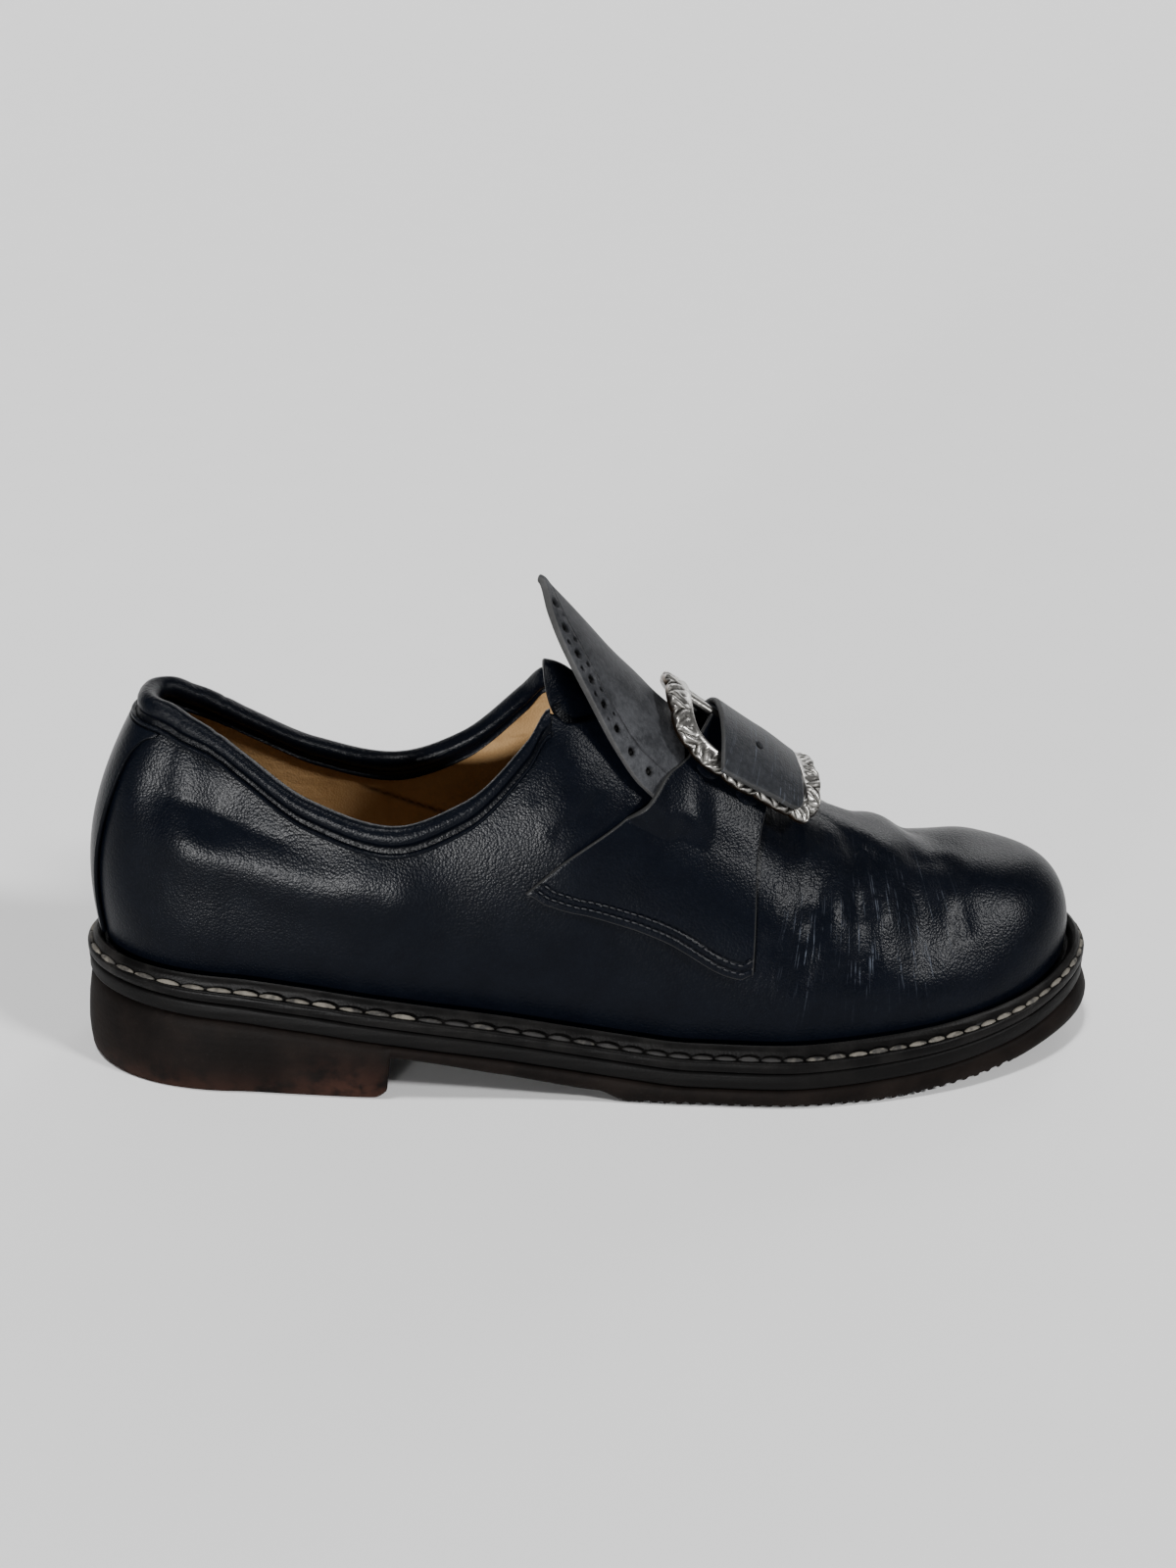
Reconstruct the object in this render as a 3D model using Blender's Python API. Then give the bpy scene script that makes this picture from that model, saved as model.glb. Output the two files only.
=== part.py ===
"""A right slip-on dress shoe: welted sole, hollow upper, standing flap and buckled strap.

Sizes are in millimetres, measured from the back of the heel along the shoe (along), from the
bent centre line to the side (half width) and from the floor up (height). Meshes are in metres.
"""
from collections import namedtuple

import bmesh
import bpy
import numpy as np

for old in list(bpy.data.objects):
    bpy.data.objects.remove(old, do_unlink=True)

MM = 0.001
LATERAL, MEDIAL = -1, 1

# Driving sizes
LENGTH = 300.0
HEEL_PIVOT = 45.0
TOE_PIVOT = 208.0
HEEL_POWER = 2.0
TOE_POWER = 2.12
GAP = 0.3
WALL = 2.0
STRAP_THICK = 1.8
FLAP_THICK = 2.2
TONGUE_THICK = 1.6
WELT_THICK = 3.4
BEAD_RISE = 2.8
MIDSOLE_THICK = 5.2
FEATHER_INSET = 8.2
RING_INSET = 11.8
HEEL_BREAST = 88.5
BREAST_RUN = 1.6
TREAD_STEP = 148.0
TREAD_RUN = 9.0
THROAT = 156.0
RIDGE_FALL = 0.56
SMOOTH_ANGLE = 40.0

# The welt's outline: half width about a centre line that curves with the foot
Outline = namedtuple("Outline", "along half_width")
OUTLINE = [
    Outline(45, 34.2),
    Outline(65, 35.4),
    Outline(85, 36.2),
    Outline(105, 36.0),
    Outline(140, 38.8),
    Outline(175, 45.8),
    Outline(208, 50.0),
]
Swing = namedtuple("Swing", "along offset")
SWING = [
    Swing(0, 1.8),
    Swing(30, 0.9),
    Swing(60, -1.3),
    Swing(85, -3.6),
    Swing(110, -5.3),
    Swing(140, -4.8),
    Swing(175, -2.5),
    Swing(208, -1.0),
    Swing(250, 1.0),
    Swing(300, 3.0),
]

# Heights of the sole's two faces
Level = namedtuple("Level", "along height")
WELT_TOP = [
    Level(0, 34.5),
    Level(40, 32.7),
    Level(63, 30.5),
    Level(90, 26.8),
    Level(120, 22.3),
    Level(155, 17.0),
    Level(175, 15.1),
    Level(200, 14.9),
    Level(232, 16.3),
    Level(270, 20.0),
    Level(300, 26.0),
]
ARCH = [
    Level(88.5, 13.2),
    Level(120, 8.2),
    Level(153, 3.2),
]
SPRING = [
    Level(157, 0.0),
    Level(225, 0.0),
    Level(256, 2.2),
    Level(300, 8.5),
]

# Sections of the last. Each is one cubic curve from the feather edge up to its top:
# top and top_half give its upper end, bulge and belly how far and how high the side swells,
# shoulder and drop the handle at the upper end.
Section = namedtuple("Section", "along top top_half bulge belly shoulder drop")
LAST = [
    Section(0, 120.0, 13, 4.0, 28.0, 25, 38),
    Section(22, 120.0, 6, 5.0, 28.0, 20, 34),
    Section(45, 120.0, 4, 6.0, 29.0, 16, 33),
    Section(75, 119.0, 7, 7.0, 30.0, 18, 37),
    Section(100, 118.0, 4, 8.0, 32.0, 25, 34),
    Section(125, 118.0, 0, 9.0, 36.0, 30, 14),
    Section(138, 117.0, 0, 9.0, 39.0, 31, 5),
    Section(156, 110.0, 0, 8.0, 41.0, 25, 0),
    Section(172, 98.7, 0, 7.0, 39.0, 24, 0),
    Section(190, 85.5, 0, 6.0, 35.0, 24, 0),
    Section(208, 74.2, 0, 5.5, 29.0, 24, 0.8),
    Section(262, 74.2, 0, 6.0, 18.0, 25.5, 0.8),
    Section(300, 74.2, 0, 5.4, 35.5, 42, 0.8),
]

# The rim of the opening, from the back of the heel to the throat on the ridge
Rim = namedtuple("Rim", "along height")
COLLAR = [
    Rim(0, 109.8),
    Rim(10, 109.0),
    Rim(22, 106.1),
    Rim(35, 103.6),
    Rim(45, 101.2),
    Rim(51, 97.2),
    Rim(70, 85.3),
    Rim(92, 79.4),
    Rim(112, 86.2),
    Rim(130, 102.5),
    Rim(136, 109.5),
    Rim(141, 107.2),
    Rim(151, 107.6),
    Rim(156, 110.0),
]

# How far the sole's edge leans in between the floor and the welt, at its ends
LEAN = [
    Level(0, 2.2),
    Level(35, 1.0),
    Level(60, 0.0),
    Level(240, 0.0),
    Level(280, 1.6),
    Level(300, 2.4),
]

# Side of each layer of the sole, from its upper edge down: inset from the outline, height, and
# how much of the lean it takes
Edge = namedtuple("Edge", "inset height lean")
OUTSOLE_SIDE = [
    Edge(1.0, 1.0, 1.0),
    Edge(0.2, 0.86, 0.9),
    Edge(0.0, 0.5, 0.4),
    Edge(0.3, 0.24, 0.1),
    Edge(1.6, 0.0, 0.0),
]
MIDSOLE_TOP = -WELT_THICK - GAP
MIDSOLE_BOTTOM = MIDSOLE_TOP - MIDSOLE_THICK
MIDSOLE_SIDE = [
    Edge(0.7, MIDSOLE_TOP, 1.0),
    Edge(0.0, MIDSOLE_TOP - 1.0, 1.0),
    Edge(0.0, MIDSOLE_BOTTOM + 1.0, 1.0),
    Edge(0.7, MIDSOLE_BOTTOM, 1.0),
]
WELT_SECTION = [
    Edge(0.6, -WELT_THICK, 1.0),
    Edge(0.0, -1.6, 1.0),
    Edge(0.5, 0.0, 1.0),
    Edge(3.4, -0.3, 0.2),
    Edge(4.1, 0.7 * BEAD_RISE, 0.0),
    Edge(5.2, BEAD_RISE, 0.0),
    Edge(6.3, 0.7 * BEAD_RISE, 0.0),
    Edge(7.2, 0.0, 0.0),
    Edge(RING_INSET, 0.0, 0.0),
    Edge(RING_INSET, -WELT_THICK, 0.0),
]
INSOLE_EDGE = RING_INSET + GAP
INSOLE_SIDE = [
    Edge(INSOLE_EDGE + 2.0, 1.2, 0.0),
    Edge(INSOLE_EDGE, 0.0, 0.0),
    Edge(INSOLE_EDGE, -WELT_THICK, 0.0),
]

# The inner tongue lies under the throat; its rear edge is cut in a shallow curve and its middle
# stands up there, from the length TONGUE_STAND back and within the girth TONGUE_CROWN
TONGUE_REAR, TONGUE_FRONT, TONGUE_HALF = 135.0, 174.0, 23.0
TONGUE_CURVE = 5.0
TONGUE_GAP = 0.9
TONGUE_RISE, TONGUE_STAND, TONGUE_CROWN = 5.0, 16.0, 15.0

# The standing flap: how far it lifts off the instep and how far it reaches round it
Flap = namedtuple("Flap", "along rise half_girth")
FLAP = [
    Flap(133.6, 24.0, 0.0),
    Flap(135.5, 21.9, 9.0),
    Flap(139, 18.2, 16.5),
    Flap(146, 11.8, 24.0),
    Flap(153, 6.5, 29.5),
    Flap(160, 3.0, 33.0),
    Flap(166, 0.8, 33.0),
    Flap(172, 0.0, 30.0),
]
FLAP_END = 172.0
# A strap starts to rise this far from the flap and is clear of it after the second length
FLAP_MARGIN, FLAP_CLIMB = 9.0, 8.0

# The side panel from its hem, 0, up to the buckle bar, 1: its rear and front edge
Panel = namedtuple("Panel", "share rear_along rear_girth front_along front_girth")
PANEL = [
    Panel(0.00, 129, 66, 190.5, 65),
    Panel(0.25, 144, 54, 191.0, 53),
    Panel(0.50, 160, 36, 191.5, 38),
    Panel(0.70, 166, 25, 192.5, 26),
    Panel(0.86, 173, 15, 194.5, 13),
    Panel(1.00, 177, 2.0, 196.0, 2.0),
]
Hem = namedtuple("Hem", "share sag")
HEM = [
    Hem(0.0, 0.0),
    Hem(0.08, 3.4),
    Hem(0.21, 6.0),
    Hem(0.49, 4.8),
    Hem(0.65, 3.6),
    Hem(0.83, 4.4),
    Hem(0.95, 3.0),
    Hem(1.0, 0.5),
]
# Height of each strap over the instep, by its girth from the ridge, and the strap end's edges
Carry = namedtuple("Carry", "girth lift")
LATERAL_CARRY = [
    Carry(2.0, 7.2),
    Carry(7, 5.0),
    Carry(18, 2.9),
    Carry(26, 1.4),
    Carry(36, GAP),
]
MEDIAL_CARRY = [
    Carry(-18, 10.8),
    Carry(-12, 11.0),
    Carry(0, 10.5),
    Carry(6, 9.0),
    Carry(14, 3.3),
    Carry(18, 2.9),
    Carry(26, 1.4),
    Carry(36, GAP),
]
STRAP_REAR, STRAP_FRONT, STRAP_END = 177.5, 199.2, -17.5
# The far panel narrows to the strap between these two girths
PANEL_NECK, STRAP_NECK = 25.0, 9.0

# The cast buckle: a rounded frame round the straps, with a bar along its middle
BUCKLE_AT, BUCKLE_HALF_LONG, BUCKLE_HALF_WIDE = 188.4, 21.0, 17.0
BUCKLE_POWER = 4.0
BUCKLE_LIFT = 8.2
FRAME_WIDE, FRAME_THICK = 6.4, 3.2
BAR_RADIUS = 1.5

# The strip over the back seam: how far it reaches round the heel
BackStrip = namedtuple("BackStrip", "height reach")
BACK_STRIP = [
    BackStrip(39, 0.13),
    BackStrip(60, 0.14),
    BackStrip(78, 0.18),
    BackStrip(91, 0.23),
    BackStrip(100.5, 0.31),
]
STRIP_THICK, STRIP_GAP = 1.0, 0.45
BINDING_DROP, BINDING_THICK, BINDING_GAP = 6.0, 1.0, 0.5
BINDING_END = 136.0

# A point inside the instep, to tell a sheet's outer face from its inner one
INSIDE_ALONG, INSIDE_HEIGHT = 150.0, 60.0

Station = namedtuple("Station", "pivot ahead aside reach")


def curve(rows, along, column=1):
    """One column of a table as a smooth curve that never overshoots its rows."""
    places = np.array([row[0] for row in rows], float)
    values = np.array([row[column] for row in rows], float)
    steps = np.diff(places)
    slopes = np.diff(values) / steps
    tangents = np.zeros(len(places))
    for i in range(1, len(places) - 1):
        if slopes[i - 1] * slopes[i] > 0:
            ahead = 2 * steps[i] + steps[i - 1]
            behind = steps[i] + 2 * steps[i - 1]
            tangents[i] = (ahead + behind) / (ahead / slopes[i - 1] + behind / slopes[i])
    along = np.clip(along, places[0], places[-1])
    i = int(np.clip(np.searchsorted(places, along) - 1, 0, len(steps) - 1))
    t = (along - places[i]) / steps[i]
    start = values[i] * (2 * t**3 - 3 * t**2 + 1) + tangents[i] * steps[i] * (t**3 - 2 * t**2 + t)
    end = values[i + 1] * (3 * t**2 - 2 * t**3) + tangents[i + 1] * steps[i] * (t**3 - t**2)
    return start + end


def ease(value):
    """A soft step from 0 to 1."""
    value = np.clip(value, 0.0, 1.0)
    return value * value * (3 - 2 * value)


def superellipse(ahead, aside, length, width, power):
    """Reach of a rounded end in the direction (ahead, aside)."""
    return ((abs(ahead) / length) ** power + (aside / width) ** power) ** (-1 / power)


def station_at(place):
    """The section plane at a place: 0 to 1 sweeps the heel, 1 to 2 the waist, 2 to 3 the toe."""
    if place < 1:
        turn = place * np.pi / 2
        ahead, aside = -np.cos(turn), np.sin(turn)
        reach = superellipse(ahead, aside, HEEL_PIVOT, OUTLINE[0].half_width, HEEL_POWER)
        return Station(HEEL_PIVOT, ahead, aside, reach)
    if place <= 2:
        along = HEEL_PIVOT + (place - 1) * (TOE_PIVOT - HEEL_PIVOT)
        return Station(along, 0.0, 1.0, curve(OUTLINE, along))
    turn = (3 - place) * np.pi / 2
    ahead, aside = np.cos(turn), np.sin(turn)
    reach = superellipse(ahead, aside, LENGTH - TOE_PIVOT, OUTLINE[-1].half_width, TOE_POWER)
    return Station(TOE_PIVOT, ahead, aside, reach)


def place_of(along):
    """The station place of a section across the waist."""
    return 1 + (along - HEEL_PIVOT) / (TOE_PIVOT - HEEL_PIVOT)


def on_plan(station, side, radius):
    """Plan position of a point at a radius from a station's pivot."""
    along = station.pivot + station.ahead * radius
    return along, side * station.aside * radius + curve(SWING, along)


def foot_along(station):
    """Where the station's plane meets the outline, measured along the shoe."""
    return station.pivot + station.ahead * station.reach


def section_handles(station):
    """The four handles (radius, height) of a station's last section."""
    along = foot_along(station)
    top, top_half, bulge, belly, shoulder, drop = (curve(LAST, along, c) for c in range(1, 7))
    drop += RIDGE_FALL * max(station.ahead, 0.0) * shoulder
    foot = station.reach - FEATHER_INSET
    floor = curve(WELT_TOP, station.pivot + station.ahead * foot) + GAP
    return [
        (foot, floor),
        (foot + bulge, floor + belly),
        (top_half + shoulder, top - drop),
        (top_half, top),
    ]


def bezier(handles, t):
    """A point on a cubic curve."""
    a, b, c, d = (np.array(handle) for handle in handles)
    s = 1 - t
    return a * s**3 + 3 * b * s * s * t + 3 * c * s * t * t + d * t**3


def rise_to(handles, height):
    """The curve's parameter where it reaches a height."""
    if height >= handles[3][1]:
        return 1.0
    low, high = 0.0, 1.0
    for _ in range(40):
        middle = (low + high) / 2
        if bezier(handles, middle)[1] < height:
            low = middle
        else:
            high = middle
    return high


def last_point(place, side, t):
    """A point of the last's skin, in millimetres."""
    station = station_at(place)
    radius, height = bezier(section_handles(station), t)
    along, across = on_plan(station, side, radius)
    return np.array([along, across, height])


PLAN_EDGES = [on_plan(station_at(p), s, station_at(p).reach)[1]
              for s in (LATERAL, MEDIAL) for p in np.linspace(0, 3, 301)]
ACROSS_MID = (min(PLAN_EDGES) + max(PLAN_EDGES)) / 2


def to_metres(point):
    """From the shoe's own millimetres to the part's frame: origin under the middle of the box."""
    return ((point[0] - LENGTH / 2) * MM, (point[1] - ACROSS_MID) * MM, point[2] * MM)


def material(name, colour, roughness, metallic=0.0):
    made = bpy.data.materials.new(name)
    made.use_nodes = True
    shader = made.node_tree.nodes["Principled BSDF"]
    shader.inputs["Base Color"].default_value = (*colour, 1.0)
    shader.inputs["Roughness"].default_value = roughness
    shader.inputs["Metallic"].default_value = metallic
    return made


LEATHER = material("navy leather", (0.012, 0.018, 0.032), 0.42)
FLAP_LEATHER = material("flap leather", (0.022, 0.027, 0.036), 0.6)
LINING_LEATHER = material("tan leather", (0.42, 0.25, 0.11), 0.6)
WELT_LEATHER = material("welt leather", (0.012, 0.011, 0.011), 0.5)
MIDSOLE_RUBBER = material("black rubber", (0.014, 0.014, 0.015), 0.6)
OUTSOLE_RUBBER = material("brown rubber", (0.035, 0.022, 0.018), 0.65)
BUCKLE_METAL = material("antique silver", (0.62, 0.61, 0.58), 0.35, 1.0)


def add_object(name, points, faces, finish):
    """One mesh object from points in the shoe's millimetres; points that coincide are welded."""
    shape = bmesh.new()
    corners = [shape.verts.new(to_metres(point)) for point in points]
    for face in faces:
        shape.faces.new([corners[i] for i in face])
    bmesh.ops.remove_doubles(shape, verts=shape.verts, dist=0.01 * MM)
    bmesh.ops.recalc_face_normals(shape, faces=shape.faces)
    mesh = bpy.data.meshes.new(name)
    shape.to_mesh(mesh)
    shape.free()
    mesh.shade_smooth()
    mesh.set_sharp_from_angle(angle=np.radians(SMOOTH_ANGLE))
    made = bpy.data.objects.new(name, mesh)
    made.data.materials.append(finish)
    bpy.context.scene.collection.objects.link(made)
    return made


def thicken(piece, thickness, offset):
    """Give a sheet its thickness: offset -1 grows inwards, +1 outwards."""
    solid = piece.modifiers.new("thickness", "SOLIDIFY")
    solid.thickness = thickness * MM
    solid.offset = offset
    solid.use_even_offset = True
    return piece


def around(places):
    """Places and sides once round the shoe: lateral heel to toe, then medial toe to heel."""
    there = [(place, LATERAL) for place in places]
    back = [(place, MEDIAL) for place in reversed(places[1:-1])]
    return there + back


# Stations: the heel and toe fans are even in angle, the waist follows the last's own rows
SOLE_PLACES = (list(np.linspace(0, 1, 9)[:-1]) + [place_of(a) for a in (45, 60, 75, 88)]
               + [place_of(a) for a in (105, 120, 136, 148)]
               + [place_of(a) for a in (165, 180, 195)] + list(np.linspace(2, 3, 12)))
STEP_PLACES = [place_of(HEEL_BREAST), place_of(HEEL_BREAST + BREAST_RUN),
               place_of(TREAD_STEP), place_of(TREAD_STEP + TREAD_RUN)]


def underside(along):
    """Height of the outsole's lower face: flat heel, arch, tread step and toe spring."""
    if along <= HEEL_BREAST + BREAST_RUN / 2:
        return 0.0
    if along <= TREAD_STEP + TREAD_RUN / 2:
        return curve(ARCH, along)
    return curve(SPRING, along)


def corner(place, side, edge, height):
    """A corner of the sole: inset from the outline, at the height that its place gives."""
    station = station_at(place)
    inset = edge.inset + edge.lean * curve(LEAN, foot_along(station))
    along, across = on_plan(station, side, station.reach - inset)
    return along, across, height(along, edge.height)


def ring_solid(name, places, edges, height, finish):
    """A closed strip round the outline through the edges of its section."""
    loop = around(places)
    count = len(edges)
    points = [corner(place, side, edge, height) for place, side in loop for edge in edges]
    faces = []
    for i in range(len(loop)):
        j = (i + 1) % len(loop)
        for k in range(count):
            m = (k + 1) % count
            faces.append((i * count + k, j * count + k, j * count + m, i * count + m))
    return add_object(name, points, faces, finish)


def plate_solid(name, places, edges, height, finish):
    """A plate that fills the outline; its edges run from its upper face down."""
    across = [(LATERAL, edge) for edge in edges] + [(MEDIAL, edge) for edge in reversed(edges)]
    count = len(across)
    points = [corner(place, side, edge, height) for place in places for side, edge in across]
    faces = []
    for i in range(len(places) - 1):
        for k in range(count):
            m = (k + 1) % count
            faces.append((i * count + k, i * count + m, (i + 1) * count + m, (i + 1) * count + k))
    return add_object(name, points, faces, finish)


def outsole_height(along, share):
    """Between the outsole's lower face, 0, and its upper face, 1."""
    top = curve(WELT_TOP, along) - WELT_THICK - MIDSOLE_THICK - 2 * GAP
    bottom = underside(along)
    return bottom + share * (top - bottom)


def over_welt(along, rise):
    """A height counted from the welt's upper face."""
    return curve(WELT_TOP, along) + rise


def make_outsole():
    """Heel block, arch, forefoot step and toe spring in one moulding."""
    places = sorted(SOLE_PLACES + STEP_PLACES)
    return plate_solid("outsole", places, OUTSOLE_SIDE, outsole_height, OUTSOLE_RUBBER)


def make_midsole():
    """The runner between outsole and welt, under the whole foot."""
    return plate_solid("midsole", SOLE_PLACES, MIDSOLE_SIDE, over_welt, MIDSOLE_RUBBER)


def make_welt():
    """A flat run for the stitches, then the storm bead, then the seat under the upper's wall."""
    return ring_solid("welt", SOLE_PLACES, WELT_SECTION, over_welt, WELT_LEATHER)


def make_insole():
    """The footbed, inside the welt's ring."""
    return plate_solid("insole", SOLE_PLACES, INSOLE_SIDE, over_welt, LINING_LEATHER)


UPPER_PLACES = (list(np.linspace(0, 1, 9)[:-1])
                + [place_of(a) for a in (45, 56, 67, 78, 88, 98, 108, 118, 126, 131, 133.5, 136, 141, 146, 151)]
                + [place_of(a) for a in (154.5, THROAT, 165, 174, 183, 191, 199)]
                + list(np.linspace(2, 3, 11)))
RISE_STEPS = 10


def rim_parameter(place):
    """How far up its section the upper runs: to the collar, or to the ridge in front of the throat."""
    if place >= place_of(THROAT) - 1e-6:
        return 1.0
    station = station_at(place)
    return rise_to(section_handles(station), curve(COLLAR, foot_along(station)))


def skin(along, girth, lift=0.0):
    """A point over the instep: girth is measured round the section from the ridge, medial positive."""
    if along > TOE_PIVOT:
        step = skin(TOE_PIVOT, girth, lift) - skin(TOE_PIVOT - 1, girth, lift)
        return skin(TOE_PIVOT, girth, lift) + (along - TOE_PIVOT) * step
    station = station_at(place_of(along))
    section = bezier(section_handles(station), np.linspace(1, 0, 41)[:, None])
    run = np.concatenate([[0.0], np.cumsum(np.linalg.norm(np.diff(section, axis=0), axis=1))])
    radius = np.interp(abs(girth), run, section[:, 0])
    height = np.interp(abs(girth), run, section[:, 1])
    point = np.array([*on_plan(station, LATERAL if girth < 0 else MEDIAL, radius), height])
    if lift:
        point = point + lift * skin_normal(along, girth)
    return point


def skin_normal(along, girth):
    """Outward direction of the last over the instep."""
    forward = skin(along + 0.5, girth) - skin(along - 0.5, girth)
    round_it = skin(along, girth + 1.0) - skin(along, girth - 1.0)
    normal = np.cross(forward, round_it)
    return normal / np.linalg.norm(normal)


def make_upper():
    """Vamp and quarters: the last's skin up to the collar, thickened inwards."""
    loop = around(UPPER_PLACES)
    points, faces = [], []
    for place, side in loop:
        rim = rim_parameter(place)
        for k in range(RISE_STEPS + 1):
            points.append(last_point(place, side, rim * k / RISE_STEPS))
    count = RISE_STEPS + 1
    for i in range(len(loop)):
        j = (i + 1) % len(loop)
        for k in range(RISE_STEPS):
            faces.append((i * count + k, j * count + k, j * count + k + 1, i * count + k + 1))
    return thicken(add_object("upper", points, faces, LEATHER), WALL, -1)


def sheet(name, rows, finish, thickness, outwards=True):
    """A leather sheet through a grid of points, thickened away from or towards the foot."""
    count = len(rows[0])
    points = [point for row in rows for point in row]
    faces = []
    for i in range(len(rows) - 1):
        for k in range(count - 1):
            faces.append((i * count + k, i * count + k + 1, (i + 1) * count + k + 1, (i + 1) * count + k))
    piece = add_object(name, points, faces, finish)
    inside = np.array(to_metres((INSIDE_ALONG, 0.0, INSIDE_HEIGHT)))
    facing = sum(np.dot(face.normal, np.array(face.center) - inside) for face in piece.data.polygons)
    if facing < 0:
        piece.data.flip_normals()
    return thicken(piece, thickness, 1 if outwards else -1)


def make_tongue():
    """The inner tongue: it follows the last under the throat and shows a little behind it."""
    rows = []
    for girth in np.linspace(-TONGUE_HALF, TONGUE_HALF, 13):
        rear = TONGUE_REAR + TONGUE_CURVE * (girth / TONGUE_HALF) ** 2
        places = np.linspace(rear, TONGUE_FRONT, 10)
        crown = 1 - ease(abs(girth) / TONGUE_CROWN)
        row = []
        for along in places:
            stand = TONGUE_RISE * crown * (1 - ease((along - rear) / TONGUE_STAND))
            row.append(skin(along, girth, stand - WALL - TONGUE_GAP))
        rows.append(row)
    return sheet("tongue", rows, LEATHER, TONGUE_THICK, outwards=False)


def flap_point(along, share):
    """A point of the flap's underside, from one edge, -1, to the other, 1."""
    point = skin(along, share * curve(FLAP, along, 2), GAP)
    return point + np.array([0.0, 0.0, curve(FLAP, along, 1)])


def make_tongue_flap():
    """The pointed flap: it lies on the instep under the buckle and stands up towards its tip."""
    places = [133.6, 134.6, 136, 138.5, 142, 146, 150, 154, 158, 162, 166, 169, FLAP_END]
    rows = [[flap_point(along, share) for share in np.linspace(-1, 1, 13)] for along in places]
    return sheet("tongue_flap", rows, FLAP_LEATHER, FLAP_THICK)


def over_flap(along, girth):
    """0 where a strap lies beside the flap, 1 where it crosses it."""
    beside = ease((curve(FLAP, along, 2) + FLAP_MARGIN - abs(girth)) / FLAP_CLIMB)
    ahead = ease((FLAP_END + FLAP_MARGIN - along) / FLAP_CLIMB)
    return beside * ahead


def strap_lift(carry, along, girth):
    """Height of a strap's underside over the instep: as carried, or enough to clear the flap."""
    plain = curve(carry, girth)
    clear = FLAP_THICK + 2 * GAP + curve(FLAP, along, 1)
    return plain + over_flap(along, girth) * max(clear - plain, 0.0)


PANEL_STEPS = [0, 0.08, 0.17, 0.27, 0.38, 0.5, 0.6, 0.7]
NECK_STEPS = [0.78, 0.86, 0.93, 1.0]
STRAP_STEP = 4.0


def panel_rows(side, carry, steps):
    """Rows of the side panel from its hem to the buckle."""
    rows = []
    for share in steps:
        rear_along, rear_girth, front_along, front_girth = (curve(PANEL, share, c) for c in range(1, 5))
        row = []
        for across in np.linspace(0, 1, 11):
            along = rear_along + across * (front_along - rear_along)
            girth = rear_girth + across * (front_girth - rear_girth)
            girth += curve(HEM, across) * (1 - share) ** 2
            row.append(skin(along, side * girth, strap_lift(carry, along, girth)))
        rows.append(row)
    return rows


def make_strap_lateral():
    """The near panel: sewn along its hem, its narrow end fastened to the buckle bar."""
    rows = panel_rows(LATERAL, LATERAL_CARRY, PANEL_STEPS + NECK_STEPS)
    return sheet("strap_lateral", rows, LEATHER, STRAP_THICK)


def make_strap_medial():
    """The far panel and its strap: under the far side of the buckle and out over its bar."""
    rows = panel_rows(MEDIAL, MEDIAL_CARRY, PANEL_STEPS)
    for girth in np.linspace(curve(PANEL, PANEL_STEPS[-1], 2) - STRAP_STEP, STRAP_END, 9):
        narrow = ease((PANEL_NECK - girth) / (PANEL_NECK - STRAP_NECK))
        rear = curve(PANEL, PANEL_STEPS[-1], 1) * (1 - narrow) + STRAP_REAR * narrow
        front = curve(PANEL, PANEL_STEPS[-1], 3) * (1 - narrow) + STRAP_FRONT * narrow
        row = []
        for along in np.linspace(rear, front, 11):
            row.append(skin(along, girth, strap_lift(MEDIAL_CARRY, along, girth)))
        rows.append(row)
    return sheet("strap_medial", rows, LEATHER, STRAP_THICK)


FRAME_TURNS, BAR_SECTIONS, OVAL_SIDES = 40, 6, 8


def oval(reach_across, reach_up):
    """Corners of an oval section."""
    for turn in np.linspace(0, 2 * np.pi, OVAL_SIDES, endpoint=False):
        yield reach_across * np.cos(turn), BUCKLE_LIFT + reach_up * np.sin(turn)


def tube(name, sections, closed):
    """A tube through rings of points, closed on itself or capped at both ends."""
    sides = len(sections[0])
    points = [point for section in sections for point in section]
    faces = []
    for i in range(len(sections) if closed else len(sections) - 1):
        j = (i + 1) % len(sections)
        for k in range(sides):
            m = (k + 1) % sides
            faces.append((i * sides + k, j * sides + k, j * sides + m, i * sides + m))
    if not closed:
        faces.append(tuple(range(sides)))
        faces.append(tuple(range(len(points) - sides, len(points))))
    return add_object(name, points, faces, BUCKLE_METAL)


def make_buckle():
    """The frame is an oval section swept round a rounded rectangle; its bar is joined to it."""
    rings = []
    for turn in np.linspace(0, 2 * np.pi, FRAME_TURNS, endpoint=False):
        ahead, aside = np.cos(turn), np.sin(turn)
        reach = superellipse(ahead, abs(aside), BUCKLE_HALF_LONG, BUCKLE_HALF_WIDE, BUCKLE_POWER)
        rings.append([skin(BUCKLE_AT + ahead * (reach + out), aside * (reach + out), lift)
                      for out, lift in oval(FRAME_WIDE / 2, FRAME_THICK / 2)])
    frame = tube("buckle", rings, closed=True)
    along_bar = BUCKLE_AT + np.linspace(-BUCKLE_HALF_LONG, BUCKLE_HALF_LONG, BAR_SECTIONS)
    bar = tube("bar_shape", [[skin(along, girth, lift) for girth, lift in oval(BAR_RADIUS, BAR_RADIUS)]
                             for along in along_bar], closed=False)
    bar.hide_render = True
    bar.display_type = "WIRE"
    join = frame.modifiers.new("bar", "BOOLEAN")
    join.operation = "UNION"
    join.object = bar
    return frame


NEARBY, DOWN_A_LITTLE, SEARCH = 0.004, 0.02, 0.005


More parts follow.
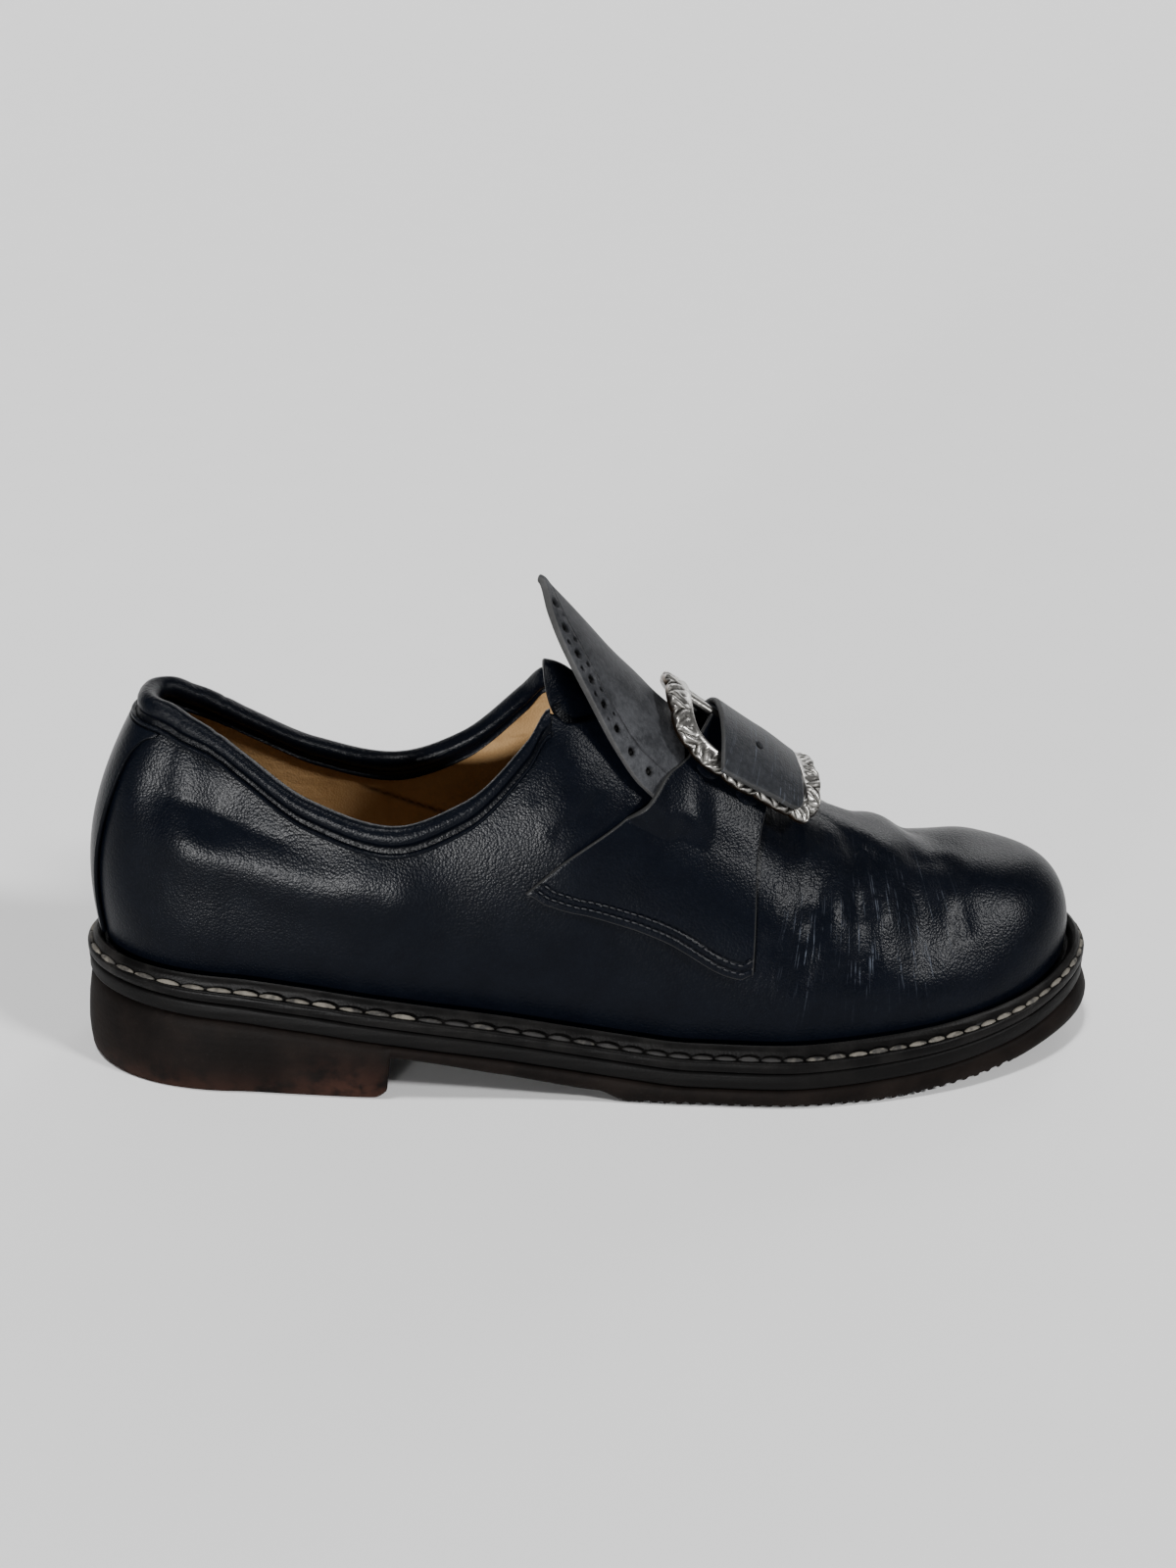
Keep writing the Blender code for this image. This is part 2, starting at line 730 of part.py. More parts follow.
def wall_frame(place, side, t):
    """A point of the upper's skin with its outward normal and its upward direction."""
    step = last_point(place + NEARBY, side, t) - last_point(max(place - NEARBY, 0.0), side, t)
    up = last_point(place, side, t) - last_point(place, side, t - DOWN_A_LITTLE)
    up /= np.linalg.norm(up)
    out = np.cross(step, up) * -side
    out /= np.linalg.norm(out)
    if place == 0.0:
        out[1] = 0.0
    return last_point(place, side, t), out, up


def make_collar_binding():
    """The strip folded over the collar's rim, from one end of the throat round the heel to the other."""
    places = [place for place in UPPER_PLACES if place <= place_of(BINDING_END) + 1e-6]
    loop = [(place, LATERAL) for place in reversed(places)] + [(place, MEDIAL) for place in places[1:]]
    points, faces = [], []
    near, far = BINDING_GAP, BINDING_GAP + BINDING_THICK
    for place, side in loop:
        rim = rim_parameter(place)
        top, out, up = wall_frame(place, side, rim)
        low_t = rim
        while np.linalg.norm(last_point(place, side, low_t) - top) < BINDING_DROP:
            low_t -= SEARCH
        low, low_out, _ = wall_frame(place, side, low_t)
        points += [
            low + low_out * near,
            low + low_out * far,
            top + out * far,
            top + out * near + up * far,
            top - out * (WALL + near) + up * far,
            top - out * (WALL + far),
            low - low_out * (WALL + far),
            low - low_out * (WALL + near),
            top - out * (WALL + near) + up * near,
            top + out * near + up * near,
        ]
    count = 10
    for i in range(len(loop) - 1):
        for k in range(count):
            m = (k + 1) % count
            faces.append((i * count + k, i * count + m, (i + 1) * count + m, (i + 1) * count + k))
    last = (len(loop) - 1) * count
    for first in (0, last):
        for a, b, c, d in ((0, 1, 2, 9), (2, 3, 9, 9), (3, 4, 8, 9), (4, 5, 8, 8), (5, 6, 7, 8)):
            faces.append(tuple(dict.fromkeys(first + v for v in (a, b, c, d))))
    return add_object("collar_binding", points, faces, LEATHER)


def make_back_strip():
    """The strip over the back seam: narrow above the welt, spreading under the collar binding."""
    rows = []
    for height in np.linspace(BACK_STRIP[0].height, BACK_STRIP[-1].height, 10):
        reach = curve(BACK_STRIP, height)
        row = []
        for share in np.linspace(-1, 1, 9):
            place, side = abs(share) * reach, LATERAL if share < 0 else MEDIAL
            t = rise_to(section_handles(station_at(place)), height)
            point, out, _ = wall_frame(place, side, t)
            row.append(point + out * STRIP_GAP)
        rows.append(row)
    return sheet("back_strip", rows, LEATHER, STRIP_THICK)


make_outsole()
make_midsole()
make_welt()
make_insole()
make_upper()
make_tongue()
make_tongue_flap()
make_strap_lateral()
make_strap_medial()
make_buckle()
make_collar_binding()
make_back_strip()
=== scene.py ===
# %% [markdown]
# A right slip-on dress shoe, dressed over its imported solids. The solids already have the form of
# the last. Here each piece is made again on that same last with a finer mesh, so that it can carry
# what a solid leaves out: creases, stitches, punched holes, a cast pattern, and the finish of each
# leather, rubber and metal. The shoe's sizes are in millimetres, counted from the back of the heel.

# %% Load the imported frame
from collections import namedtuple

import bmesh
import bpy
import numpy as np
from mathutils import Matrix


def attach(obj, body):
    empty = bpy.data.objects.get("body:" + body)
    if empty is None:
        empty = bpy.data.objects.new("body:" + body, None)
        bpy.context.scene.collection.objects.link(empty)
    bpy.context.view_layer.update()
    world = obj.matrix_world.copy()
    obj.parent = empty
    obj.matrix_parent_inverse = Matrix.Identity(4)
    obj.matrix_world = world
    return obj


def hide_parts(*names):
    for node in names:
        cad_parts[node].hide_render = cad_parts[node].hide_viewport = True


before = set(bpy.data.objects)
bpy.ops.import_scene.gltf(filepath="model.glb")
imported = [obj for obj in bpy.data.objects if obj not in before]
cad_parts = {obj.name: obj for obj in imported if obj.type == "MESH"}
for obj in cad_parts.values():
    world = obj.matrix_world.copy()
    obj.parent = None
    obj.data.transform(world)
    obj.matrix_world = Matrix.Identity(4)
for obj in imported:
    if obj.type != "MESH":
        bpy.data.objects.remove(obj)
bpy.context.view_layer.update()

MM = 0.001
LATERAL, MEDIAL = -1, 1
print("solids:", ", ".join(sorted(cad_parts)))

# %% [markdown]
# A shoemaker starts from the last, the block that the upper is pulled over. Its shape could be
# read back from the solids, but a fine crease needs more points than they have. So the last is
# worked out again from the few rows that its maker would measure, and every piece that lies on it
# asks the same functions where its surface is.

# %% Tables of the last
LENGTH, HEEL_PIVOT, TOE_PIVOT = 300.0, 45.0, 208.0
HEEL_POWER, TOE_POWER = 2.0, 2.12
GAP, WALL, FEATHER_INSET, RIDGE_FALL = 0.3, 2.0, 8.2, 0.56
THROAT, BINDING_END = 156.0, 136.0


def table(columns, *rows):
    """Rows of numbers with named columns."""
    row = namedtuple("Row", columns)
    return [row(*values) for values in rows]


OUTLINE = table("along half_width", (45, 34.2), (65, 35.4), (85, 36.2), (105, 36.0), (140, 38.8),
                (175, 45.8), (208, 50.0))
SWING = table("along offset", (0, 1.8), (30, 0.9), (60, -1.3), (85, -3.6), (110, -5.3), (140, -4.8),
              (175, -2.5), (208, -1.0), (250, 1.0), (300, 3.0))
WELT_TOP = table("along height", (0, 34.5), (40, 32.7), (63, 30.5), (90, 26.8), (120, 22.3),
                 (155, 17.0), (175, 15.1), (200, 14.9), (232, 16.3), (270, 20.0), (300, 26.0))
LAST = table(
    "along top top_half bulge belly shoulder drop",
    (0, 120.0, 13, 4.0, 28.0, 25, 38), (22, 120.0, 6, 5.0, 28.0, 20, 34),
    (45, 120.0, 4, 6.0, 29.0, 16, 33), (75, 119.0, 7, 7.0, 30.0, 18, 37),
    (100, 118.0, 4, 8.0, 32.0, 25, 34), (125, 118.0, 0, 9.0, 36.0, 30, 14),
    (138, 117.0, 0, 9.0, 39.0, 31, 5), (156, 110.0, 0, 8.0, 41.0, 25, 0),
    (172, 98.7, 0, 7.0, 39.0, 24, 0), (190, 85.5, 0, 6.0, 35.0, 24, 0),
    (208, 74.2, 0, 5.5, 29.0, 24, 0.8), (262, 74.2, 0, 6.0, 18.0, 25.5, 0.8),
    (300, 74.2, 0, 5.4, 35.5, 42, 0.8))
COLLAR = table("along height", (0, 109.8), (10, 109.0), (22, 106.1), (35, 103.6), (45, 101.2), (51, 97.2),
               (70, 85.3), (92, 79.4), (112, 86.2), (130, 102.5), (136, 109.5), (141, 107.2), (151, 107.6),
               (156, 110.0))
print("last:", len(LAST), "sections, collar:", len(COLLAR), "rows")


# %% Curves through the tables
def curve(rows, at, column=1):
    """One column of a table as a smooth curve that never overshoots its rows."""
    places, values = np.array([(row[0], row[column]) for row in rows], float).T
    steps = np.diff(places)
    slopes = np.diff(values) / steps
    turning = slopes[:-1] * slopes[1:] <= 0
    before, after = (np.where(turning, 1.0, slope) for slope in (slopes[:-1], slopes[1:]))
    ahead, behind = 2 * steps[1:] + steps[:-1], steps[1:] + 2 * steps[:-1]
    tangents = np.zeros(len(places))
    tangents[1:-1] = np.where(turning, 0.0, (ahead + behind) / (ahead / before + behind / after))
    at = np.clip(at, places[0], places[-1])
    i = np.clip(np.searchsorted(places, at) - 1, 0, len(steps) - 1)
    t = (at - places[i]) / steps[i]
    start = values[i] * (2 * t**3 - 3 * t**2 + 1) + tangents[i] * steps[i] * (t**3 - 2 * t**2 + t)
    return start + values[i + 1] * (3 * t**2 - 2 * t**3) + tangents[i + 1] * steps[i] * (t**3 - t**2)


def ease(value):
    """A soft step from 0 to 1."""
    value = np.clip(value, 0.0, 1.0)
    return value * value * (3 - 2 * value)


def hump(value, middle, half):
    """1 at the middle, about a third at half a width from it, and soon 0."""
    return np.exp(-(((value - middle) / half) ** 2))


def superellipse(ahead, aside, length, width, power):
    """Reach of a rounded end in the direction (ahead, aside)."""
    return ((np.abs(ahead) / length) ** power + (np.abs(aside) / width) ** power) ** (-1 / power)


# %% Stations round the shoe
Station = namedtuple("Station", "pivot ahead aside reach")


def station_at(place):
    """The section plane at a place: 0 to 1 sweeps the heel, 1 to 2 the waist, 2 to 3 the toe."""
    place = np.asarray(place, float)
    turn = np.where(place < 1, place, np.where(place > 2, 3 - place, 1.0)) * np.pi / 2
    ahead, aside = np.cos(turn) * np.sign(place - 1.5), np.sin(turn)
    pivot = np.clip(HEEL_PIVOT + (place - 1) * (TOE_PIVOT - HEEL_PIVOT), HEEL_PIVOT, TOE_PIVOT)
    heel = superellipse(ahead, aside, HEEL_PIVOT, OUTLINE[0].half_width, HEEL_POWER)
    toe = superellipse(ahead, aside, LENGTH - TOE_PIVOT, OUTLINE[-1].half_width, TOE_POWER)
    reach = np.where(place < 1, heel, np.where(place > 2, toe, curve(OUTLINE, pivot)))
    return Station(pivot, ahead, aside, reach)


def place_of(along):
    """The place of a section across the waist."""
    return 1 + (np.asarray(along, float) - HEEL_PIVOT) / (TOE_PIVOT - HEEL_PIVOT)


def on_plan(station, side, radius):
    """Plan position of a point at a radius from a station's pivot."""
    along = station.pivot + station.ahead * radius
    return along, side * station.aside * radius + curve(SWING, along)


def around(places):
    """Places and sides once round the shoe: lateral heel to toe, then medial toe to heel."""
    loop = np.concatenate([places, places[-2:0:-1]])
    sides = np.concatenate([np.full(len(places), LATERAL), np.full(len(places) - 2, MEDIAL)])
    return loop[:, None], sides[:, None]


FULL_TURN = station_at(np.linspace(0, 3, 301))
PLAN_EDGES = np.concatenate([on_plan(FULL_TURN, side, FULL_TURN.reach)[1] for side in (LATERAL, MEDIAL)])
ACROSS_MID = (PLAN_EDGES.min() + PLAN_EDGES.max()) / 2
ORIGIN = np.array([LENGTH / 2, ACROSS_MID, 0.0])
print("ball width", round(PLAN_EDGES.max() - PLAN_EDGES.min(), 1), "mm")

# %% The last's skin
HALVINGS, ROUNDING = 30, 1e-6


def section_handles(station):
    """The handles of each station's section: their radii and their heights."""
    along = station.pivot + station.ahead * station.reach
    top, top_half, bulge, belly, shoulder, drop = (curve(LAST, along, c) for c in range(1, 7))
    drop = drop + RIDGE_FALL * np.maximum(station.ahead, 0.0) * shoulder
    foot = station.reach - FEATHER_INSET
    floor = curve(WELT_TOP, station.pivot + station.ahead * foot) + GAP
    radii = np.stack([foot, foot + bulge, top_half + shoulder, top_half], -1)
    return radii, np.stack([floor, floor + belly, top - drop, top], -1)


def bezier(handles, t):
    """Points on cubic curves."""
    a, b, c, d = np.moveaxis(handles, -1, 0)
    return a * (1 - t) ** 3 + 3 * b * (1 - t) ** 2 * t + 3 * c * (1 - t) * t**2 + d * t**3


def last_skin(place, side, t):
    """Points of the last's skin, from the feather edge, t 0, to the section's top, t 1."""
    place, side, t = np.broadcast_arrays(place, side, t)
    station = station_at(place)
    radii, heights = section_handles(station)
    along, across = on_plan(station, side, bezier(radii, t))
    return np.stack([along, across, bezier(heights, t)], -1)


def rise_to(place, height):
    """The parameter t where each section reaches a height."""
    place, height = np.broadcast_arrays(place, height)
    heights = section_handles(station_at(place))[1]
    low, high = np.zeros(place.shape), np.ones(place.shape)
    for _ in range(HALVINGS):
        middle = (low + high) / 2
        below = bezier(heights, middle) < height
        low, high = np.where(below, middle, low), np.where(below, high, middle)
    return np.where(height >= heights[..., 3], 1.0, high)


def rim_parameter(place):
    """How far up its section the upper runs: to the collar, or to the ridge ahead of the throat."""
    station = station_at(place)
    along = station.pivot + station.ahead * station.reach
    return np.where(place >= place_of(THROAT) - ROUNDING, 1.0, rise_to(place, curve(COLLAR, along)))

# %% Points over the instep
SECTION_STEPS, STEP_ALONG, STEP_ROUND = 61, 0.5, 1.0


def instep(along, girth):
    """A point of the skin by its girth round the section from the ridge, medial positive."""
    station = station_at(place_of(along))
    radii, heights = section_handles(station)
    t = np.linspace(1, 0, SECTION_STEPS)
    radius, height = bezier(radii[..., None, :], t), bezier(heights[..., None, :], t)
    step = np.hypot(np.diff(radius), np.diff(height))
    run = np.concatenate([np.zeros_like(step[..., :1]), np.cumsum(step, -1)], -1)
    reach = np.abs(girth)[..., None]
    i = np.clip((run <= reach).sum(-1) - 1, 0, SECTION_STEPS - 2)[..., None]
    start, end = np.take_along_axis(run, i, -1), np.take_along_axis(run, i + 1, -1)
    share = np.clip((reach - start) / (end - start), 0.0, 1.0)

    def between(values):
        low, high = np.take_along_axis(values, i, -1), np.take_along_axis(values, i + 1, -1)
        return (low + share * (high - low))[..., 0]

    plan = on_plan(station, np.where(girth < 0, LATERAL, MEDIAL), between(radius))
    return np.stack([*plan, between(height)], -1)


def skin(along, girth, lift=0.0):
    """A point over the instep, lifted off the last along its normal."""
    along, girth, lift = np.broadcast_arrays(np.asarray(along, float), np.asarray(girth, float), lift)

    def bare(x, g):
        on_last = np.minimum(x, TOE_PIVOT)
        slope = instep(np.full_like(x, TOE_PIVOT), g) - instep(np.full_like(x, TOE_PIVOT - 1), g)
        return instep(on_last, g) + (x - on_last)[..., None] * slope

    forward = bare(along + STEP_ALONG, girth) - bare(along - STEP_ALONG, girth)
    normal = np.cross(forward, bare(along, girth + STEP_ROUND) - bare(along, girth - STEP_ROUND))
    normal /= np.linalg.norm(normal, axis=-1, keepdims=True)
    return bare(along, girth) + lift[..., None] * normal


print("ridge over the throat at", np.round(skin(THROAT, 0.0), 1))

# %% [markdown]
# Every piece is a grid of points on the last, so a few helpers turn grids into meshes. Each mesh
# is closed: a sheet of leather gets an upper face, a lower face and a rounded cut edge between
# them, because a single layer of faces has no thickness and shows a paper edge. Values kept at the
# points, such as how worn or how near an edge they are, reach the finish later.


# %% Grids to meshes
def grid_faces(rows, columns, closed_rows=False, closed_columns=False, first=0):
    """Quads over a grid of points, joined end to end where it is closed."""
    i, k = np.meshgrid(np.arange(rows if closed_rows else rows - 1),
                       np.arange(columns if closed_columns else columns - 1), indexing="ij")
    j, m = (i + 1) % rows, (k + 1) % columns
    quads = np.stack([i * columns + k, j * columns + k, j * columns + m, i * columns + m], -1)
    return (quads.reshape(-1, 4) + first).tolist()


def end_caps(rows, columns):
    """The two faces that close the ends of a tube of rings."""
    return [list(range(columns)), list(range((rows - 1) * columns, rows * columns))]


def to_metres(points):
    """From the shoe's own millimetres to the frame of the part."""
    return (np.asarray(points).reshape(-1, 3) - ORIGIN) * MM


SHARP_ANGLE = np.radians(50)
WELD = 0.01


def add_piece(name, points, faces, finish, slot, replaces=None, layers=None):
    """One mesh that rides with the shoe; layers are named values at its points."""
    mesh = bpy.data.meshes.new(name)
    mesh.from_pydata(to_metres(points).tolist(), [], faces)
    for layer, values in (layers or {}).items():
        values = np.asarray(values, np.float32).ravel()
        mesh.attributes.new(layer, "FLOAT", "POINT").data.foreach_set("value", values)
    shape = bmesh.new()
    shape.from_mesh(mesh)
    bmesh.ops.remove_doubles(shape, verts=shape.verts, dist=WELD * MM)
    bmesh.ops.recalc_face_normals(shape, faces=shape.faces)
    shape.to_mesh(mesh)
    shape.free()
    mesh.shade_smooth()
    mesh.set_sharp_from_angle(angle=SHARP_ANGLE)
    mesh.materials.append(finish)
    piece = bpy.data.objects.new(name, mesh)
    bpy.context.scene.collection.objects.link(piece)
    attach(piece, "root")
    if replaces:
        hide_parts(replaces)
    print(f"{name}: {len(mesh.vertices)} points, {len(mesh.polygons)} faces")
    return piece

# %% Leather sheets with a cut edge
SHOE_MIDDLE = np.array([150.0, 0.0, 60.0])
EDGE_TURNS = np.radians([-60, -25, 25, 60])
TINY = 1e-9


def unit(vectors):
    """The same directions with length 1."""
    return vectors / np.maximum(np.linalg.norm(vectors, axis=-1, keepdims=True), TINY)


def grid_normals(grid):
    """Directions out of a grid, away from the middle of the shoe."""
    normals = unit(np.cross(np.gradient(grid, axis=0), np.gradient(grid, axis=1)))
    outward = (normals * (grid - SHOE_MIDDLE)).sum() > 0
    return normals if outward else -normals


def sheet_mesh(grid, thickness, edge_round=0.35, relief=0.0):
    """A sheet on the grid of its underside: points, faces, and a value that is 1 on the cut edge."""
    rows, columns = grid.shape[:2]
    normals = grid_normals(grid)
    upper = grid + normals * np.asarray(thickness + relief)[..., None]
    i = np.concatenate([np.zeros(columns, int), np.arange(1, rows), np.full(columns - 1, rows - 1),
                        np.arange(rows - 2, 0, -1)])
    k = np.concatenate([np.arange(columns), np.full(rows - 1, columns - 1),
                        np.arange(columns - 2, -1, -1), np.zeros(rows - 2, int)])
    inner = grid[np.clip(i, 1, rows - 2), np.clip(k, 1, columns - 2)]
    out = grid[i, k] - inner
    out = unit(out - (out * normals[i, k]).sum(-1, keepdims=True) * normals[i, k])
    low, high = grid[i, k], upper[i, k]
    rim = [(low + high) / 2 + (high - low) / 2 * np.sin(turn) + out * edge_round * thickness * np.cos(turn)
           for turn in EDGE_TURNS]
    points = np.concatenate([grid.reshape(-1, 3), upper.reshape(-1, 3), *rim])
    size, count = rows * columns, len(i)
    faces = grid_faces(rows, columns) + grid_faces(rows, columns, first=size)
    loops = [i * columns + k] + [2 * size + n * count + np.arange(count) for n in range(len(rim))]
    loops.append(size + i * columns + k)
    for one, two in zip(loops, loops[1:]):
        faces += np.stack([one, np.roll(one, -1), np.roll(two, -1), two], -1).tolist()
    cut = np.zeros(len(points))
    cut[2 * size:] = 1.0
    return points, faces, cut


def on_face(values, cut):
    """Values for a sheet's upper face, with 0 on its lower face and its cut edge."""
    return np.concatenate([np.zeros(values.size), values.ravel(), np.zeros(len(cut) - 2 * values.size)])


# %% Rows of stitches
LUMP_RINGS, LUMP_SIDES = 5, 8


def lumps(centres, along, across, up, sizes):
    """One mesh of many small rounded lumps, each turned along its own three directions."""
    turn = np.linspace(0, 2 * np.pi, LUMP_SIDES, endpoint=False)
    lean = np.linspace(0, np.pi, LUMP_RINGS + 2)[1:-1]
    unit_ring = np.stack([np.repeat(np.cos(lean), LUMP_SIDES),
                          np.outer(np.sin(lean), np.cos(turn)).ravel(),
                          np.outer(np.sin(lean), np.sin(turn)).ravel()], -1)
    unit_ring = np.concatenate([unit_ring, [[1, 0, 0], [-1, 0, 0]]]) * np.asarray(sizes) / 2
    axes = np.stack([along, across, up], 1)
    points = centres[:, None, :] + np.einsum("pk,nkc->npc", unit_ring, axes)
    each = grid_faces(LUMP_RINGS, LUMP_SIDES, closed_columns=True)
    first, last = len(unit_ring) - 2, (LUMP_RINGS - 1) * LUMP_SIDES
    each += [[first, (k + 1) % LUMP_SIDES, k] for k in range(LUMP_SIDES)]
    each += [[first + 1, last + k, last + (k + 1) % LUMP_SIDES] for k in range(LUMP_SIDES)]
    faces = [[n * len(unit_ring) + v for v in face] for n in range(len(centres)) for face in each]
    return points.reshape(-1, 3), faces


def along_path(path, pitch):
    """Evenly spaced points on a line of points, with the direction of the line at each."""
    run = np.concatenate([[0.0], np.cumsum(np.linalg.norm(np.diff(path, axis=0), axis=1))])
    places = np.arange(pitch / 2, run[-1], pitch)

    def at(where):
        return np.stack([np.interp(where, run, column) for column in path.T], -1)

    return at(places), unit(at(places + pitch / 4) - at(places - pitch / 4))


# %% [markdown]
# A finish is a small graph of shader nodes. Wired by hand such graphs are hard to read, so one class
# wraps a socket and lets sums be written as in Python: each sign adds its Math node. Every finish
# measures the object's own coordinates in millimetres, so the grain has the same size on each piece.


# %% Sockets that take part in sums
class Wire:
    """A socket of a shader graph."""

    def __init__(self, socket):
        self.socket = socket
        self.tree = socket.id_data

    def node(self, kind, settings=None, sockets=None, result=0):
        """Any node: its settings are set first, then the values or links of its sockets."""
        made = self.tree.nodes.new(kind)
        for name, value in (settings or {}).items():
            setattr(made, name, value)
        for name, value in (sockets or {}).items():
            join(value, made.inputs[name])
        return Wire(made.outputs[result])

    def maths(self, operation, first, second=0.0):
        return self.node("ShaderNodeMath", {"operation": operation}, {0: first, 1: second})

    def __add__(self, other):
        return self.maths("ADD", self, other)

    def __sub__(self, other):
        return self.maths("SUBTRACT", self, other)

    def __rsub__(self, other):
        return self.maths("SUBTRACT", other, self)

    def __mul__(self, other):
        return self.maths("MULTIPLY", self, other)

    def __truediv__(self, other):
        return self.maths("DIVIDE", self, other)

    __radd__ = __add__
    __rmul__ = __mul__

    def clear(self, low, high):
        """A soft step of this value from 0 at low to 1 at high."""
        return self.node("ShaderNodeMapRange", {"interpolation_type": "SMOOTHSTEP"},
                         {"Value": self, "From Min": low, "From Max": high})

    def mix(self, plain, other):
        """Two colours mixed by this value."""
        return self.node("ShaderNodeMix", {"data_type": "RGBA"}, {0: self, 6: plain, 7: other}, 2)

    def stretched(self, x, y, z):
        """Coordinates measured in lengths of x, y and z millimetres."""
        return self.node("ShaderNodeVectorMath", {"operation": "MULTIPLY"},
                         {0: self, 1: (1 / (x * MM), 1 / (y * MM), 1 / (z * MM))})

    def noise(self, size, detail, stretch=(1, 1, 1)):
        """Soft noise with blotches about size millimetres wide, 0 to 1."""
        lengths = [size * s for s in stretch]
        return self.node("ShaderNodeTexNoise", None, {"Vector": self.stretched(*lengths), "Scale": 1.0,
                                                      "Detail": detail, "Roughness": 0.55})

    def cells(self, size):
        """Rounded cells about size millimetres wide: 1 in their middles."""
        return 1 - self.node("ShaderNodeTexVoronoi", {"feature": "F1"},
                             {"Vector": self.stretched(size, size, size), "Scale": 1.0})

    def bands(self, run, size, waver):
        """Level lines, about a third of size millimetres apart, that waver along their run."""
        return self.node("ShaderNodeTexWave", {"wave_type": "BANDS", "bands_direction": "Z"},
                         {"Vector": self.stretched(run, run, size), "Scale": 1.0, "Distortion": waver})

    def parts(self):
        """The three numbers of a vector."""
        return [self.node("ShaderNodeSeparateXYZ", None, {0: self}, axis) for axis in range(3)]

    def layer(self, name):
        """A value kept at the points of a mesh."""
        return self.node("ShaderNodeAttribute", {"attribute_name": name}, None, 2)

    def bump(self, depth):
        """A normal from this height, which stands for depth millimetres."""
        return self.node("ShaderNodeBump", None,
                         {"Height": self, "Strength": 1.0, "Distance": depth * MM})


def join(value, socket):
    """Link a wire to a socket, or set the socket to a plain value."""
    if isinstance(value, Wire):
        socket.id_data.links.new(value.socket, socket)
    else:
        socket.default_value = value


def colour(red, green, blue):
    """An opaque colour."""
    return (red, green, blue, 1.0)


def new_finish(name):
    """A material, and the wire of the object's own coordinates to start its graph from."""
    made = bpy.data.materials.new(name)
    made.use_nodes = True
    start = made.node_tree.nodes.new("ShaderNodeTexCoord")
    return made, Wire(start.outputs["Object"])


def set_surface(finish, sockets):
    """Set or link the sockets of a finish's main shader."""
    shader = finish.node_tree.nodes["Principled BSDF"]
    for name, value in sockets.items():
        join(value, shader.inputs[name])
    return finish


# %% [markdown]
# The outsole is one dark brown rubber moulding: heel block, arch, and a forefoot whose tread is cut
# across in fine ribs that show as teeth at the edge. The ribs could be a bump, but then the lower
# edge would stay straight, so they are cut upwards into the mesh and never below the floor. The
# rubber is dull and brown, redder where it has worn, with fine moulding lines along its side.


# %% Brown rubber
def make_outsole_rubber():
    """Dull brown rubber, blotched and dusty, and redder where it has rubbed."""
    finish, place = new_finish("outsole rubber")
    blotches = place.noise(14.0, 4.0)
    dust = place.noise(1.2, 3.0)
    rubbed = place.layer("rubbed") * place.noise(6.0, 3.0).clear(0.3, 0.6)
    brown = blotches.clear(0.35, 0.7).mix(colour(0.0019, 0.0013, 0.0011), colour(0.0048, 0.0033, 0.0027))
    brown = rubbed.mix(brown, colour(0.022, 0.0095, 0.0065))
    brown = (dust.clear(0.62, 0.8) * 0.3).mix(brown, colour(0.011, 0.0095, 0.0085))
    height = place.bands(160, 7.0, 0.6) * 0.1 + dust * 0.6
    return set_surface(finish, {"Base Color": brown, "Roughness": 0.5 + 0.2 * blotches,
                                "Specular IOR Level": 0.04, "Normal": height.bump(0.12)})


OUTSOLE_RUBBER = make_outsole_rubber()

# %% Heights of the sole
WELT_THICK, MIDSOLE_THICK = 3.4, 5.2
HEEL_BREAST, BREAST_RUN, TREAD_STEP, TREAD_RUN = 88.5, 1.6, 148.0, 9.0
CORNER_RISE, CORNER_RUN = 2.2, 4.0
ARCH = table("along height", (88.5, 13.2), (120, 8.2), (153, 3.2))
SPRING = table("along height", (157, 0.0), (225, 0.0), (256, 2.2), (300, 8.5))
LEAN = table("along inset", (0, 2.2), (35, 1.0), (60, 0.0), (240, 0.0), (280, 1.6), (300, 2.4))


def underside(along):
    """Height of the outsole's lower face: flat heel, arch, tread step and toe spring."""
    heel = ease((along - HEEL_BREAST) / BREAST_RUN)
    corner = CORNER_RISE * np.clip((along - HEEL_BREAST) / CORNER_RUN + 1, 0.0, 1.0) ** 2
    tread = ease((along - TREAD_STEP) / TREAD_RUN)
    arch = heel * curve(ARCH, along) + (1 - heel) * corner
    return arch * (1 - tread) + tread * curve(SPRING, along)


def outsole_top(along):
    """Height of the outsole's upper face, under the runner."""
    return curve(WELT_TOP, along) - WELT_THICK - MIDSOLE_THICK - 2 * GAP


# %% Sole pieces from rings
RING_PLACES = np.unique(np.concatenate([
    np.linspace(0, 1, 120), place_of(np.arange(HEEL_PIVOT, TOE_PIVOT, 0.6)), np.linspace(2, 3, 240),
    place_of([HEEL_BREAST, HEEL_BREAST + BREAST_RUN, TREAD_STEP, TREAD_STEP + TREAD_RUN])]))
EDGE, TO_MIDDLE = "inset height lean", 200.0


def ring_points(place, side, edges, height):
    """Points of each edge of a section, all the way round the outline."""
    station = station_at(place)
    inset, rise, lean = np.array(edges, float).T
    foot = station.pivot + station.ahead * station.reach
    radius = np.maximum(station.reach - inset - lean * curve(LEAN, foot), 0.0)
    along, across = on_plan(station, side, radius)
    return np.stack([along, across, height(along, rise)], -1)


def sole_piece(name, node, edges, height, finish, slot, ring=False, layers=None, places=RING_PLACES):
    """A plate that fills the outline, or a ring along it, from the edges of its section."""
    place, side = around(places)
    points = ring_points(place, side, edges, height)
    faces = grid_faces(*points.shape[:2], closed_rows=True, closed_columns=ring)
    kept = {key: value(points) for key, value in (layers or {}).items()}
    return add_piece(name, points, faces, finish, slot, node, kept)


def fill(height, *insets):
    """Rings of a flat face, from the middle of the shoe outwards."""
    return [(inset, height, 0.0) for inset in (TO_MIDDLE, *insets)]


